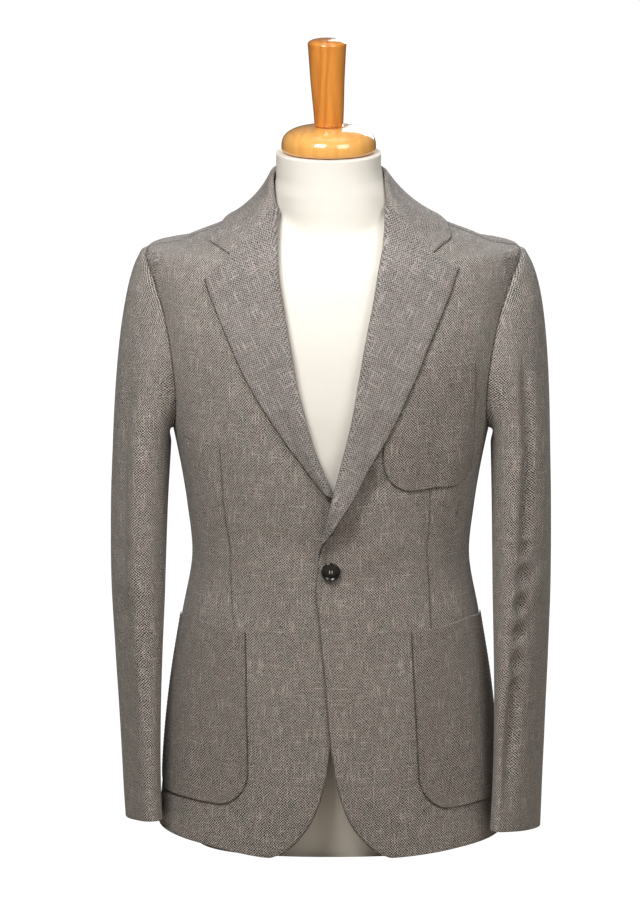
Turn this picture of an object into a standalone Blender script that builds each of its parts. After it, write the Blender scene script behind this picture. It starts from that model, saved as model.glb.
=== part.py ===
"""A tailored wool jacket buttoned on a limbless dress form that stands on its own flat base.

Metres, +Z up, the front faces -Y and the wearer's left is +X. The floor is z = 0.
The body of the jacket is one surface, worked out from horizontal sections. A place on it is a
turn (0 degrees at the centre front, 90 at the side, 180 at the centre back) and a height.
Each cloth piece is a wall round its own middle surface, cut out of that one surface.
"""

import math

import bmesh
import bpy
import numpy as np

# ---------------------------------------------------------------- driving sizes
CLOTH = 0.0020  # wall of the canvassed fronts, the body and the sleeves
FACING = 0.0012  # wall of the lapel facings
POCKET_CLOTH = 0.0014  # wall of the patch pockets
COLLAR_CLOTH = 0.0022  # wall of the collar
HALF_SEAM = 0.0002  # each piece stops this short of the seam line
LAID_ON = 0.0006  # clearance under a piece that lies on a panel
DERIVATIVE_STEP = 0.0002

# The jacket's outer surface, section by section. Front and back are depths from the middle line.
TORSO_COLUMNS = ("height", "half_width", "front", "back", "middle", "squareness")
TORSO = (
    (-0.010, 0.1965, 0.1340, 0.1260, 0.000, 2.35),
    (0.060, 0.1890, 0.1330, 0.1300, 0.000, 2.35),
    (0.130, 0.1835, 0.1310, 0.1310, 0.000, 2.35),
    (0.187, 0.1770, 0.1295, 0.1270, 0.000, 2.35),
    (0.259, 0.1655, 0.1265, 0.1150, 0.000, 2.35),
    (0.332, 0.1540, 0.1240, 0.1010, 0.000, 2.35),
    (0.387, 0.1595, 0.1270, 0.1020, 0.000, 2.38),
    (0.423, 0.1650, 0.1310, 0.1070, 0.001, 2.40),
    (0.459, 0.1720, 0.1345, 0.1130, 0.002, 2.40),
    (0.500, 0.1810, 0.1355, 0.1180, 0.003, 2.40),
    (0.566, 0.1950, 0.1300, 0.1210, 0.005, 2.40),
    (0.600, 0.2000, 0.1230, 0.1210, 0.006, 2.40),
    (0.640, 0.2055, 0.1100, 0.1150, 0.007, 2.40),
    (0.658, 0.2082, 0.1020, 0.1090, 0.008, 2.38),
    (0.6665, 0.2080, 0.0970, 0.1060, 0.008, 2.36),
    (0.6725, 0.2040, 0.0925, 0.1030, 0.009, 2.34),
    (0.6770, 0.1775, 0.0880, 0.1000, 0.009, 2.32),
    (0.6855, 0.1545, 0.0815, 0.0960, 0.010, 2.30),
    (0.6945, 0.1310, 0.0735, 0.0900, 0.010, 2.28),
    (0.7035, 0.1130, 0.0650, 0.0830, 0.010, 2.25),
    (0.7120, 0.0965, 0.0560, 0.0760, 0.010, 2.22),
    (0.7215, 0.0790, 0.0470, 0.0690, 0.010, 2.20),
    (0.737, 0.0670, 0.0405, 0.0590, 0.010, 2.20),
    (0.760, 0.0620, 0.0380, 0.0540, 0.010, 2.20),
)

# Outlines in the front view, as (x, height). x is measured towards the piece's own side.
FRONT_EDGE = (
    (0.0665, 0.0100),
    (0.0520, 0.0162),
    (0.0325, 0.0348),
    (0.0200, 0.0530),
    (0.0128, 0.0712),
    (0.0072, 0.0895),
    (0.0030, 0.1120),
    (-0.0020, 0.1500),
    (-0.0064, 0.2021),
    (-0.0098, 0.2397),
    (-0.0141, 0.2803),
    (-0.0172, 0.3132),
    (-0.0145, 0.3390),
)
ROLL_LINES = {
    "left": (
        (-0.0145, 0.3390),
        (-0.0087, 0.3530),
        (-0.0030, 0.3735),
        (0.0040, 0.4087),
        (0.0102, 0.4353),
        (0.0157, 0.4560),
        (0.0202, 0.4735),
        (0.0248, 0.4920),
        (0.0282, 0.5083),
        (0.0340, 0.5436),
        (0.0397, 0.5787),
        (0.0439, 0.6030),
        (0.0490, 0.6296),
        (0.0539, 0.6627),
        (0.0571, 0.6860),
        (0.0597, 0.7056),
        (0.0608, 0.7205),
    ),
    "right": (
        (-0.0145, 0.3390),
        (-0.0100, 0.3650),
        (-0.0032, 0.4000),
        (0.0024, 0.4212),
        (0.0082, 0.4353),
        (0.0158, 0.4538),
        (0.0229, 0.4719),
        (0.0281, 0.4890),
        (0.0333, 0.5080),
        (0.0424, 0.5436),
        (0.0488, 0.5787),
        (0.0527, 0.5980),
        (0.0585, 0.6296),
        (0.0640, 0.6600),
        (0.0665, 0.6838),
        (0.0656, 0.7056),
        (0.0618, 0.7205),
    ),
}
# Each lapel's edge, from where it starts to turn up to its tip.
LAPEL_EDGES = {
    "left": (
        (-0.0145, 0.3390),
        (-0.0090, 0.3570),
        (-0.0015, 0.3750),
        (0.0083, 0.3959),
        (0.0239, 0.4212),
        (0.0394, 0.4488),
        (0.0560, 0.4760),
        (0.0705, 0.5035),
        (0.0982, 0.5644),
        (0.1099, 0.5924),
        (0.1189, 0.6133),
        (0.1275, 0.6339),
        (0.1376, 0.6639),
    ),
    "right": (
        (-0.0058, 0.3920),
        (0.0016, 0.4110),
        (0.0148, 0.4313),
        (0.0304, 0.4538),
        (0.0491, 0.4790),
        (0.0694, 0.5088),
        (0.0927, 0.5461),
        (0.1107, 0.5830),
        (0.1244, 0.6129),
        (0.1336, 0.6335),
        (0.1396, 0.6517),
    ),
}
NOTCHES = {"left": (0.1070, 0.6777), "right": (0.1136, 0.6760)}  # where each gorge seam ends
COLLAR_CORNERS = {"left": (0.1268, 0.6883), "right": (0.1363, 0.6852)}
NECK_POINT_HEIGHT = 0.7215  # of the shoulder seam's inner end
NECK_RISE, RIDGE_RADIUS = 0.024, 0.200  # how the panels' divisions run over the neck and the ridge
SHOULDER_POINT_HEIGHT = 0.6718
BACK_NECK_HEIGHT = 0.7235
HEMS = {
    "left": ((0.0, 0.0100), (20.0, 0.0100), (35.0, 0.0120), (52.0, 0.0150), (75.0, 0.0165), (180.0, 0.0190)),
    "right": ((0.0, 0.0100), (20.0, 0.0100), (35.0, 0.0145), (52.0, 0.0195), (75.0, 0.0215), (180.0, 0.0190)),
}

# The front's and the back's side seams: height, turn of the front seam, turn of the back seam.
SIDE_SEAMS = (
    (0.000, 61.0, 116.0),
    (0.130, 59.0, 117.0),
    (0.260, 57.0, 119.0),
    (0.332, 57.0, 120.0),
    (0.420, 60.5, 118.0),
    (0.530, 68.0, 114.0),
)
# The armhole: turn round the hole from the shoulder, turn round the body, height.
ARMHOLE = (
    (0, 90.0, 0.6718),
    (30, 75.0, 0.6550),
    (60, 67.5, 0.6180),
    (90, 64.5, 0.5700),
    (120, 67.0, 0.5220),
    (150, 75.0, 0.4860),
    (180, 90.0, 0.4720),
    (210, 104.0, 0.4860),
    (240, 113.0, 0.5220),
    (270, 115.5, 0.5700),
    (300, 112.5, 0.6180),
    (330, 105.0, 0.6550),
    (360, 90.0, 0.6718),
)
ARMHOLE_FRONT_SEAM = 127.0  # turn round the hole where the front meets the side panel
ARMHOLE_BACK_SEAM = 235.0

# The roll of the lapel and the layers at the buttoned front.
ROLL_RADIUS_LOW, ROLL_RADIUS_HIGH = 0.0038, 0.0026
LAPEL_EDGE_LIFT = 0.0030  # middle of the lapel's edge over the panel
OVERLAP = 0.0034  # the left front lies this far over the right one
OVERLAP_FROM, OVERLAP_TO = 0.050, 0.026
CROSSING_HEIGHT, CROSSING_SPREAD, CROSSING_LIFT = 0.409, 0.040, 0.0098
BREAKS = {"left": 0.3390, "right": 0.3920}  # heights where the lapels start to turn
FULL_ROLL = 0.050  # the roll reaches its half turn this far above the break

# Sleeves: height, centre x, centre y, half thickness, half depth, turn towards the body.
SLEEVE_COLUMNS = ("height", "x", "y", "thick", "deep", "turn")
SLEEVES = {
    "left": (
        (0.4550, 0.2105, 0.004, 0.0325, 0.076, 6.0),
        (0.3800, 0.2120, -0.004, 0.0315, 0.073, 9.0),
        (0.3000, 0.2125, -0.013, 0.0295, 0.068, 13.0),
        (0.2200, 0.2120, -0.024, 0.0250, 0.062, 18.0),
        (0.1400, 0.2105, -0.037, 0.0205, 0.057, 22.0),
        (0.0700, 0.2080, -0.049, 0.0190, 0.054, 24.0),
        (0.0250, 0.2060, -0.056, 0.0190, 0.053, 25.0),
    ),
    "right": (
        (0.4550, 0.2095, 0.004, 0.0320, 0.076, 5.0),
        (0.3800, 0.2128, -0.004, 0.0310, 0.073, 6.0),
        (0.3000, 0.2140, -0.013, 0.0290, 0.068, 8.0),
        (0.2200, 0.2135, -0.022, 0.0245, 0.062, 10.0),
        (0.1400, 0.2120, -0.034, 0.0200, 0.057, 12.0),
        (0.0700, 0.2100, -0.044, 0.0183, 0.054, 12.0),
        (0.0352, 0.2080, -0.050, 0.0180, 0.053, 12.0),
    ),
}
SLEEVE_SQUARENESS = 2.15
SLEEVE_FULLNESS = {"left": 1.0, "right": 0.80}  # of the sleeve head
# How the sleeve head leaves the armhole: turn round the hole, direction, reach.
SLEEVE_HEAD = (
    (0, 0.930, 0.000, -0.370, 0.110),
    (45, 0.880, -0.220, -0.420, 0.095),
    (90, 0.640, -0.420, -0.640, 0.080),
    (135, 0.860, -0.350, -0.370, 0.040),
    (180, 1.000, 0.000, -0.100, 0.026),
    (225, 0.860, 0.350, -0.370, 0.040),
    (270, 0.720, 0.420, -0.550, 0.080),
    (315, 0.880, 0.220, -0.420, 0.095),
    (360, 0.930, 0.000, -0.370, 0.110),
)
# Long soft folds of the sleeves: side, turn round the sleeve, its half width, depth.
SLEEVE_FOLDS = (("left", 52.0, 26.0, 0.0034), ("right", 30.0, 24.0, 0.0022))

# The collar, half way round: share of the way, crease x, y, height, and the leaf edge's turn and height.
COLLAR = {
    "left": (
        (0.00, 0.0000, 0.0700, 0.7520, 180.0, 0.7080),
        (0.20, 0.0320, 0.0610, 0.7525, 152.0, 0.7065),
        (0.40, 0.0545, 0.0370, 0.7535, 124.0, 0.7025),
        (0.58, 0.0615, 0.0090, 0.7515, 100.0, 0.7010),
        (0.80, 0.0615, -0.0140, 0.7380, 83.0, 0.6970),
    ),
    "right": (
        (0.00, 0.0000, 0.0700, 0.7520, 180.0, 0.7080),
        (0.20, 0.0325, 0.0610, 0.7525, 152.0, 0.7065),
        (0.40, 0.0555, 0.0370, 0.7535, 124.0, 0.7025),
        (0.58, 0.0620, 0.0090, 0.7515, 100.0, 0.7010),
        (0.80, 0.0635, -0.0140, 0.7380, 83.0, 0.6970),
    ),
}
NECK_SHARE = 0.58  # of the collar's half length, where it passes the shoulder seam
CREASE_RADIUS = 0.0023
STAND_GAP = 0.0018  # between the stand and the neckline
COLLAR_LIFT = 0.0032  # middle of the leaf's edge over the body
STAND_AT_GORGE = 0.0050
GORGE_GAP = 0.0024  # between the collar and the lapel where both roll over

# Patch pockets: front edge x at the top and bottom, rear turn, heights, corner radius.
CHEST_POCKET = {
    "front": (0.055, 0.057),
    "rear": (54.0, 68.0),
    "top": 0.5575,
    "bottom": 0.4240,
    "corner": 0.034,
}
HIP_POCKETS = {
    "left": {
        "front": (0.0875, 0.0985),
        "rear": (92.0, 88.0),
        "top": 0.264,
        "bottom": 0.0610,
        "corner": 0.040,
    },
    "right": {
        "front": (0.0930, 0.0900),
        "rear": (92.0, 88.0),
        "top": 0.264,
        "bottom": 0.0670,
        "corner": 0.040,
    },
}
POCKET_LIFT, POCKET_LIFT_SPREAD = 0.0026, 0.018  # the lapel rides up over the chest pocket

BUTTON_HEIGHT, BUTTON_RADIUS, BUTTON_THICK = 0.3355, 0.0106, 0.0036

# The dress form, inside the jacket.
FORM_BEARING = 0.0043  # below the cloth's outer face where the shoulders bear on it
BEARING_FROM, BEARING_TO = (56, 78), (128, 104)  # turns where the bearing sets in and ends
BEARING_LOW, BEARING_HIGH = (0.650, 0.674), (0.712, 0.700)
FORM_EASE = (
    (0.000, 0.0460),
    (0.060, 0.0340),
    (0.200, 0.0160),
    (0.330, 0.0090),
    (0.450, 0.0090),
    (0.600, 0.0090),
    (0.690, 0.0100),
    (0.708, 0.0125),
    (0.7215, 0.0090),
)
FORM_HEIGHTS = (0.0, 0.05, 0.10, 0.16, 0.22, 0.28, 0.335, 0.39, 0.44, 0.49, 0.54, 0.58, 0.62, 0.65)
FORM_HEIGHTS += (0.666, 0.6725, 0.677, 0.6855, 0.6945, 0.7035, 0.712, 0.7215)
NECK = ((0.735, 0.0640, 0.0560), (0.750, 0.0590, 0.0545), (0.762, 0.0578, 0.0540), (0.7780, 0.0578, 0.0540))
NECK_MIDDLE = 0.009
# The neck's front, carried on down into the chest: height, depth from the neck's middle.
NECK_FRONT = ((0.6770, 0.0725), (0.6855, 0.0725), (0.6945, 0.0660), (0.7035, 0.0615), (0.7120, 0.0590), (0.7350, 0.0560))
NECK_BLEND = 0.0040
THROAT_FROM = (0.670, 0.690)
CAP_BOTTOM, CAP_RADIUS, CAP_HEIGHT = 0.7783, 0.0522, 0.0292
CAP_ROUNDNESS, CAP_LIP = 0.69, 0.17
HANDLE_LOW_RADIUS, HANDLE_HIGH_RADIUS, HANDLE_LENGTH = 0.0158, 0.0213, 0.0914
HANDLE_DOME = 0.0058

# The whole stands a little askew: height, shift towards the wearer's left.
LEAN = (
    (0.000, 0.0000),
    (0.450, 0.0003),
    (0.550, 0.0008),
    (0.620, 0.0018),
    (0.660, 0.0025),
    (0.685, 0.0042),
    (0.705, 0.0036),
    (0.725, 0.0015),
    (0.745, -0.0005),
    (0.765, -0.0022),
    (0.810, -0.0020),
    (0.860, -0.0035),
    (0.914, -0.0042),
)

# How finely the pieces are divided.
EDGE_ROWS = 7
FACING_FROM = 3  # the lapel's row where its facing starts
ROLL_SHARES = (0.022, 0.05, 0.085, 0.13, 0.165, 0.20, 0.24, 0.29, 0.34, 0.42)
ROLL_SHARES += (0.50, 0.58, 0.66, 0.74, 0.81, 0.87, 0.92, 0.96, 1.0)
ARMHOLE_FROM = 0.34  # share of the roll line across from the armhole's low corner
FRONT_COLUMNS, ARC_COLUMNS, LAPEL_COLUMNS, GORGE_COLUMNS = 11, 4, 6, 4
SIDE_COLUMNS, BACK_ROWS_ABOVE, BACK_COLUMNS, NECK_COLUMNS = 7, 9, 9, 3
SLEEVE_HEAD_ROWS, SLEEVE_ROWS, UNDER_SLEEVE_STEPS = 6, 9, 1
COLLAR_SECTIONS, STAND_COLUMNS = 12, 3
POCKET_ROWS, POCKET_CORNER_ROWS, POCKET_COLUMNS = 5, 5, 9
FORM_COLUMNS = 26

COLOURS = {
    "wool": ((0.205, 0.182, 0.158, 1.0), 0.9),
    "horn": ((0.030, 0.022, 0.018, 1.0), 0.3),
    "form": ((0.86, 0.84, 0.79, 1.0), 0.6),
    "wood": ((0.72, 0.38, 0.12, 1.0), 0.3),
}


# ---------------------------------------------------------------- curves and tables
def smooth(xs, ys, at):
    """A smooth curve through (xs, ys) that never overshoots, read at the given places."""
    xs, ys, at = np.asarray(xs, float), np.asarray(ys, float), np.asarray(at, float)
    step = np.diff(xs)
    rise = np.diff(ys) / step
    slope = np.concatenate([[rise[0]], (rise[:-1] + rise[1:]) / 2, [rise[-1]]])
    same = rise[:-1] * rise[1:] > 0
    mean = np.where(same, 2 * rise[:-1] * rise[1:] / np.where(same, rise[:-1] + rise[1:], 1), 0)
    slope[1:-1] = mean
    at = np.clip(at, xs[0], xs[-1])
    i = np.clip(np.searchsorted(xs, at, side="right") - 1, 0, len(step) - 1)
    u = (at - xs[i]) / step[i]
    ends = ys[i] * (1 - u) ** 2 * (1 + 2 * u) + ys[i + 1] * u**2 * (3 - 2 * u)
    return ends + step[i] * u * (1 - u) * (slope[i] * (1 - u) - slope[i + 1] * u)


def table_at(table, columns, at):
    """Each named column of a table, read at these values of its first column."""
    rows = np.array(table, float)
    rows = rows[np.argsort(rows[:, 0])]
    return {name: smooth(rows[:, 0], rows[:, k], at) for k, name in enumerate(columns) if k}


def along(points, shares):
    """Places at these shares of the length of a smooth line through the points."""
    points = np.array(points, float)
    length = np.concatenate([[0], np.cumsum(np.linalg.norm(np.diff(points, axis=0), axis=1))])
    fine = np.linspace(0, length[-1], 400)
    line = np.stack([smooth(length, points[:, k], fine) for k in range(points.shape[1])], axis=-1)
    walked = np.concatenate([[0], np.cumsum(np.linalg.norm(np.diff(line, axis=0), axis=1))])
    want = np.asarray(shares) * walked[-1]
    return np.stack([np.interp(want, walked, line[:, k]) for k in range(points.shape[1])], axis=-1)


def ramp(value, start, end):
    """0 before start, 1 after end, smooth between."""
    u = np.clip((np.asarray(value, float) - start) / (end - start), 0, 1)
    return u * u * (3 - 2 * u)


def unit(v):
    return v / np.maximum(np.linalg.norm(v, axis=-1, keepdims=True), 1e-12)


# ---------------------------------------------------------------- the body's one surface
def section(height):
    return table_at(TORSO, TORSO_COLUMNS, height)


def depth(share, squareness):
    """How deep the section is, as a share, at this share of its half width."""
    return np.maximum(1 - np.abs(share) ** squareness, 0) ** (1 / squareness)


def surface(turn, height):
    """The jacket's outer surface at a turn in degrees and a height."""
    turn = np.radians(turn)
    s = section(height)
    deep = depth(np.sin(turn), s["squareness"])
    y = np.where(np.cos(turn) > 0, -s["front"] * deep, s["back"] * deep) + s["middle"]
    return np.stack([s["half_width"] * np.sin(turn), y, height + 0 * y], axis=-1)


def outside(points):
    """Below 0 inside the body's surface and above 0 outside it."""
    s = section(points[..., 2])
    power = s["squareness"]
    y = points[..., 1] - s["middle"]
    reach = np.where(y < 0, s["front"], s["back"])
    return np.abs(points[..., 0] / s["half_width"]) ** power + np.abs(y / reach) ** power - 1


def slope_out(points):
    rises = [outside(points + d) - outside(points - d) for d in np.eye(3) * DERIVATIVE_STEP]
    return np.stack(rises, axis=-1) / (2 * DERIVATIVE_STEP)


def outward(points):
    """The unit normal of the body's surface, pointing out."""
    return unit(slope_out(points))


def clear_of_body(points, least):
    """The points, moved out where they are nearer to the body's surface than least."""
    for _ in range(3):
        slope = slope_out(points)
        steep = np.linalg.norm(slope, axis=-1, keepdims=True)
        away = outside(points)[..., None] / steep
        points = points + slope / steep * np.maximum(least - away, 0)
    return points


def turn_at(x, height):
    """The turn of the front's point at this x."""
    return np.degrees(np.arcsin(np.clip(x / section(height)["half_width"], -1, 1)))


def in_turns(outline):
    """A front view's (x, height) places as (turn, height)."""
    return np.stack([turn_at(outline[..., 0], outline[..., 1]), outline[..., 1]], axis=-1)


def front_point(place):
    return surface(turn_at(place[..., 0], place[..., 1]), place[..., 1])


def crown(x):
    """Height of the shoulder's ridge over this x, carried on smoothly over the neck."""
    heights = np.linspace(0.6665, NECK_POINT_HEIGHT, 240)
    widths = section(heights)["half_width"]
    x = np.abs(x)
    over_neck = NECK_POINT_HEIGHT + NECK_RISE * (1 - np.minimum(x / widths[-1], 1) ** 2.5)
    return np.where(x > widths[-1], np.interp(x, widths[::-1], heights[::-1]), over_neck)


def spread(places):
    """(turn, height) places as (x, way down from the ridge), where even steps are even on the cloth."""
    turn, height = places[..., 0], places[..., 1]
    x = section(height)["half_width"] * np.sin(np.radians(turn))
    drop = np.maximum(crown(x) - height, 0)
    return np.stack([x, np.sqrt(drop**2 + 2 * RIDGE_RADIUS * drop)], axis=-1)


def gathered(grid, back=False):
    """The (turn, height) places of a spread grid."""
    height = crown(grid[..., 0]) - (np.sqrt(grid[..., 1] ** 2 + RIDGE_RADIUS**2) - RIDGE_RADIUS)
    turn = turn_at(grid[..., 0], height)
    return np.stack([180 - turn if back else turn, height], axis=-1)


def body_patch(bottom, top, inner, outer, rows, back=False):
    """A grid of (turn, height) places between four lines of them."""
    grid = gathered(patch(spread(bottom), spread(top), spread(inner), spread(outer), rows), back)
    grid[0], grid[-1], grid[:, 0], grid[:, -1] = bottom, top, inner, outer
    return grid


def hem_height(turn, word):
    rows = np.array(HEMS[word])
    return smooth(rows[:, 0], rows[:, 1], np.clip(turn, 0, 180))


def armhole(angle):
    """(turn, height) of the armhole at an angle round it, from the shoulder by the front."""
    rows = np.array(ARMHOLE, float)
    fine = np.arange(0, 361, 30)
    angle = np.asarray(angle, float)
    i = np.minimum((angle // 30).astype(int), 11)
    u = (angle - fine[i]) / 30
    value = []
    for k in (1, 2):
        ring = rows[:-1, k]
        before, a, b, after = (ring[(i + j) % 12] for j in (-1, 0, 1, 2))
        bend = (2 * before - 5 * a + 4 * b - after) * u**2 + (3 * a - before - 3 * b + after) * u**3
        value.append(a + (b - before) * u / 2 + bend / 2)
    return np.stack(value, axis=-1)


def patch(bottom, top, inner, outer, rows):
    """A grid of places between four lines. Rows run from bottom to top, columns from inner to outer."""
    s = np.linspace(0, 1, len(bottom))[None, :, None]
    t = np.asarray(rows)[:, None, None]
    sides = (1 - s) * inner[:, None] + s * outer[:, None]
    ends = (1 - t) * bottom[None] + t * top[None]
    corners = (1 - s) * ((1 - t) * bottom[0] + t * top[0]) + s * ((1 - t) * bottom[-1] + t * top[-1])
    return sides + ends - corners


def drawn_in(grid, normal, amount=HALF_SEAM):
    """The grid with each of its four edges moved a little towards the middle, square to the edge."""
    moved = grid.copy()
    for axis in (0, 1):
        line, out = np.swapaxes(grid, 0, axis), np.swapaxes(normal, 0, axis)
        shifted = np.swapaxes(moved, 0, axis)
        for edge, inside in ((0, 1), (-1, -2)):
            square = unit(np.cross(np.gradient(line[edge], axis=0), out[edge]))
            square *= np.sign((square * (line[inside] - line[edge])).sum(-1))[:, None]
            shifted[edge] += square * amount
    return moved


# ---------------------------------------------------------------- walls and solids
def material(name):
    found = bpy.data.materials.get(name)
    if found is None:
        found = bpy.data.materials.new(name)
        found.use_nodes = True
        shader = found.node_tree.nodes["Principled BSDF"]
        shader.inputs["Base Color"].default_value, shader.inputs["Roughness"].default_value = COLOURS[name]
    return found


def place(name, points, faces, finish):
    """An object of this closed mesh, with its faces pointing out."""
    points = np.array(points, float)
    lean = np.array(LEAN)
    points[:, 0] += smooth(lean[:, 0], lean[:, 1], points[:, 2])
    mesh = bpy.data.meshes.new(name)
    mesh.from_pydata([tuple(map(float, p)) for p in points], [], [tuple(map(int, f)) for f in faces])
    work = bmesh.new()
    work.from_mesh(mesh)
    bmesh.ops.recalc_face_normals(work, faces=work.faces)
    if work.calc_volume(signed=True) < 0:
        bmesh.ops.reverse_faces(work, faces=work.faces)
    work.to_mesh(mesh)
    work.free()
    mesh.materials.append(material(finish))
    mesh.shade_smooth()
    thing = bpy.data.objects.new(name, mesh)
    bpy.context.scene.collection.objects.link(thing)
    return thing


def grid_faces(first, rows, columns):
    """Triangles of a grid of points whose numbers start at first, all cut the same way."""
    n = first + np.arange(rows * columns).reshape(rows, columns)
    a, b, c, d = n[:-1, :-1], n[:-1, 1:], n[1:, 1:], n[1:, :-1]
    return np.stack([a, b, c, a, c, d], axis=-1).reshape(-1, 3).tolist()


def wall(name, middle, towards, faces, thick, finish="wool"):
    """A closed wall of that thickness round a sheet, each point moved both ways along its direction."""
    count = len(middle)
    points = np.concatenate([middle + towards * thick / 2, middle - towards * thick / 2])
    edges = {}
    for face in faces:
        for a, b in zip(face, face[1:] + face[:1]):
            edges[(a, b)] = edges.get((b, a)) is None
            if not edges[(a, b)]:
                edges[(b, a)] = False
    rims = [[b, a, a + count, b + count] for (a, b), alone in edges.items() if alone]
    return place(name, points, faces + [[i + count for i in reversed(f)] for f in faces] + rims, finish)


def sheet_normals(grid, looped=False):
    """The direction square to a grid at each of its points, its rows' crossed with its columns'."""
    if looped:
        across = np.roll(grid, -1, axis=1) - np.roll(grid, 1, axis=1)
    else:
        across = np.gradient(grid, axis=1)
    return unit(np.cross(np.gradient(grid, axis=0), across))


def panel(name, places, side):
    """A wall cut from the body's surface, at a grid of (turn, height) places."""
    outer = surface(places[..., 0], places[..., 1])
    normal = outward(outer)
    middle = drawn_in(outer, normal) - normal * CLOTH / 2
    mirror = np.array([side, 1, 1])
    wall(
        name,
        middle.reshape(-1, 3) * mirror,
        normal.reshape(-1, 3) * mirror,
        grid_faces(0, *places.shape[:2]),
        CLOTH,
    )


# ---------------------------------------------------------------- fronts, lapels and facings
def overlap_lift(points, side):
    """How far the left front lies out from the body's surface, over the right one."""
    if side < 0:
        return np.zeros(points.shape[:-1])
    x, z = points[..., 0], points[..., 2]
    near_edge = ramp(x, OVERLAP_FROM, OVERLAP_TO) * ramp(z, 0.50, 0.45)
    crossing = np.exp(-(((z - CROSSING_HEIGHT) / CROSSING_SPREAD) ** 2)) * ramp(x, 0.060, 0.012)
    return OVERLAP * near_edge + CROSSING_LIFT * crossing


def front_rows():
    """Shares of the way up the front's two long edges, with their corners on rows."""
    stops = (0, 0.42, 0.42 + 0.53 * ARMHOLE_FROM, 0.95, 1.0)
    edge = np.linspace(0, stops[1], EDGE_ROWS + 1)
    roll = stops[1] + (stops[3] - stops[1]) * np.array(ROLL_SHARES)
    return np.concatenate([edge, roll, [0.975, 1.0]]), stops


def neck_point():
    return np.array([90.0, NECK_POINT_HEIGHT])


def shoulder_seam(shares):
    """(turn, height) along the shoulder seam, from the neck to the sleeve."""
    near, far = (section(h)["half_width"] for h in (NECK_POINT_HEIGHT, SHOULDER_POINT_HEIGHT))
    height = crown(near + (far - near) * shares)
    height[shares > 1 - 1e-9] = SHOULDER_POINT_HEIGHT
    return np.stack([90 + 0 * shares, height], axis=-1)


def seam_rows():
    """Shares of the way up a side seam, the same for each panel."""
    rows, stops = front_rows()
    return rows[rows <= stops[2] + 1e-9] / stops[2]


def armhole_angles():
    """The places round the armhole where the panels' edges and the sleeve's first row have their points."""
    rows, stops = front_rows()
    up = (rows[rows > stops[2] + 1e-9] - stops[2]) / (1 - stops[2])
    ahead = ARMHOLE_FRONT_SEAM * (1 - np.concatenate([[0], up]))[::-1]
    under = np.linspace(ARMHOLE_FRONT_SEAM, ARMHOLE_BACK_SEAM, SIDE_COLUMNS + 1)
    behind = np.linspace(ARMHOLE_BACK_SEAM, 360, BACK_ROWS_ABOVE + 1)
    return ahead, under, behind


def front_places(word):
    """The front panel's grid of (turn, height) places, and its rows' shares."""
    rows, stops = front_rows()
    edge = in_turns(along(FRONT_EDGE, rows[rows <= stops[1] + 1e-9] / stops[1]))
    roll = in_turns(along(ROLL_LINES[word], ROLL_SHARES))
    neck_share = (rows[rows > stops[3] + 1e-9] - stops[3]) / (1 - stops[3])
    neckline = roll[-1] + (neck_point() - roll[-1]) * neck_share[:, None]
    inner = np.concatenate([edge, roll, neckline])
    seams = np.array(SIDE_SEAMS)
    corner = armhole(ARMHOLE_FRONT_SEAM)
    low = hem_height(seams[0, 1], word)
    height = low + (corner[1] - low) * seam_rows()
    bent = smooth(seams[:, 0], seams[:, 1], height)
    bent += (corner[0] - bent[-1]) * seam_rows()
    hole = armhole(armhole_angles()[0][::-1][1:])
    outer = np.concatenate([np.stack([bent, height], axis=-1), hole])
    across = np.linspace(0, 1, FRONT_COLUMNS + 1)
    turns = inner[0, 0] + (outer[0, 0] - inner[0, 0]) * across
    bottom = np.stack([turns, hem_height(turns, word)], axis=-1)
    bottom[0], bottom[-1] = inner[0], outer[0]
    top = shoulder_seam(across)
    return body_patch(bottom, top, inner, outer, rows), rows, stops


def lapel_rows(word):
    """The lapel's rows: places on the roll line, their shares of the lapel's own length, the turned part."""
    shares = np.concatenate([[0.0], ROLL_SHARES])
    rolls = along(ROLL_LINES[word], shares)
    fine = np.linspace(0, 1, 400)
    start = np.interp(BREAKS[word], along(ROLL_LINES[word], fine)[:, 1], fine)
    own = (shares - start) / (1 - start)
    return rolls, own, own > 0.006


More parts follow.
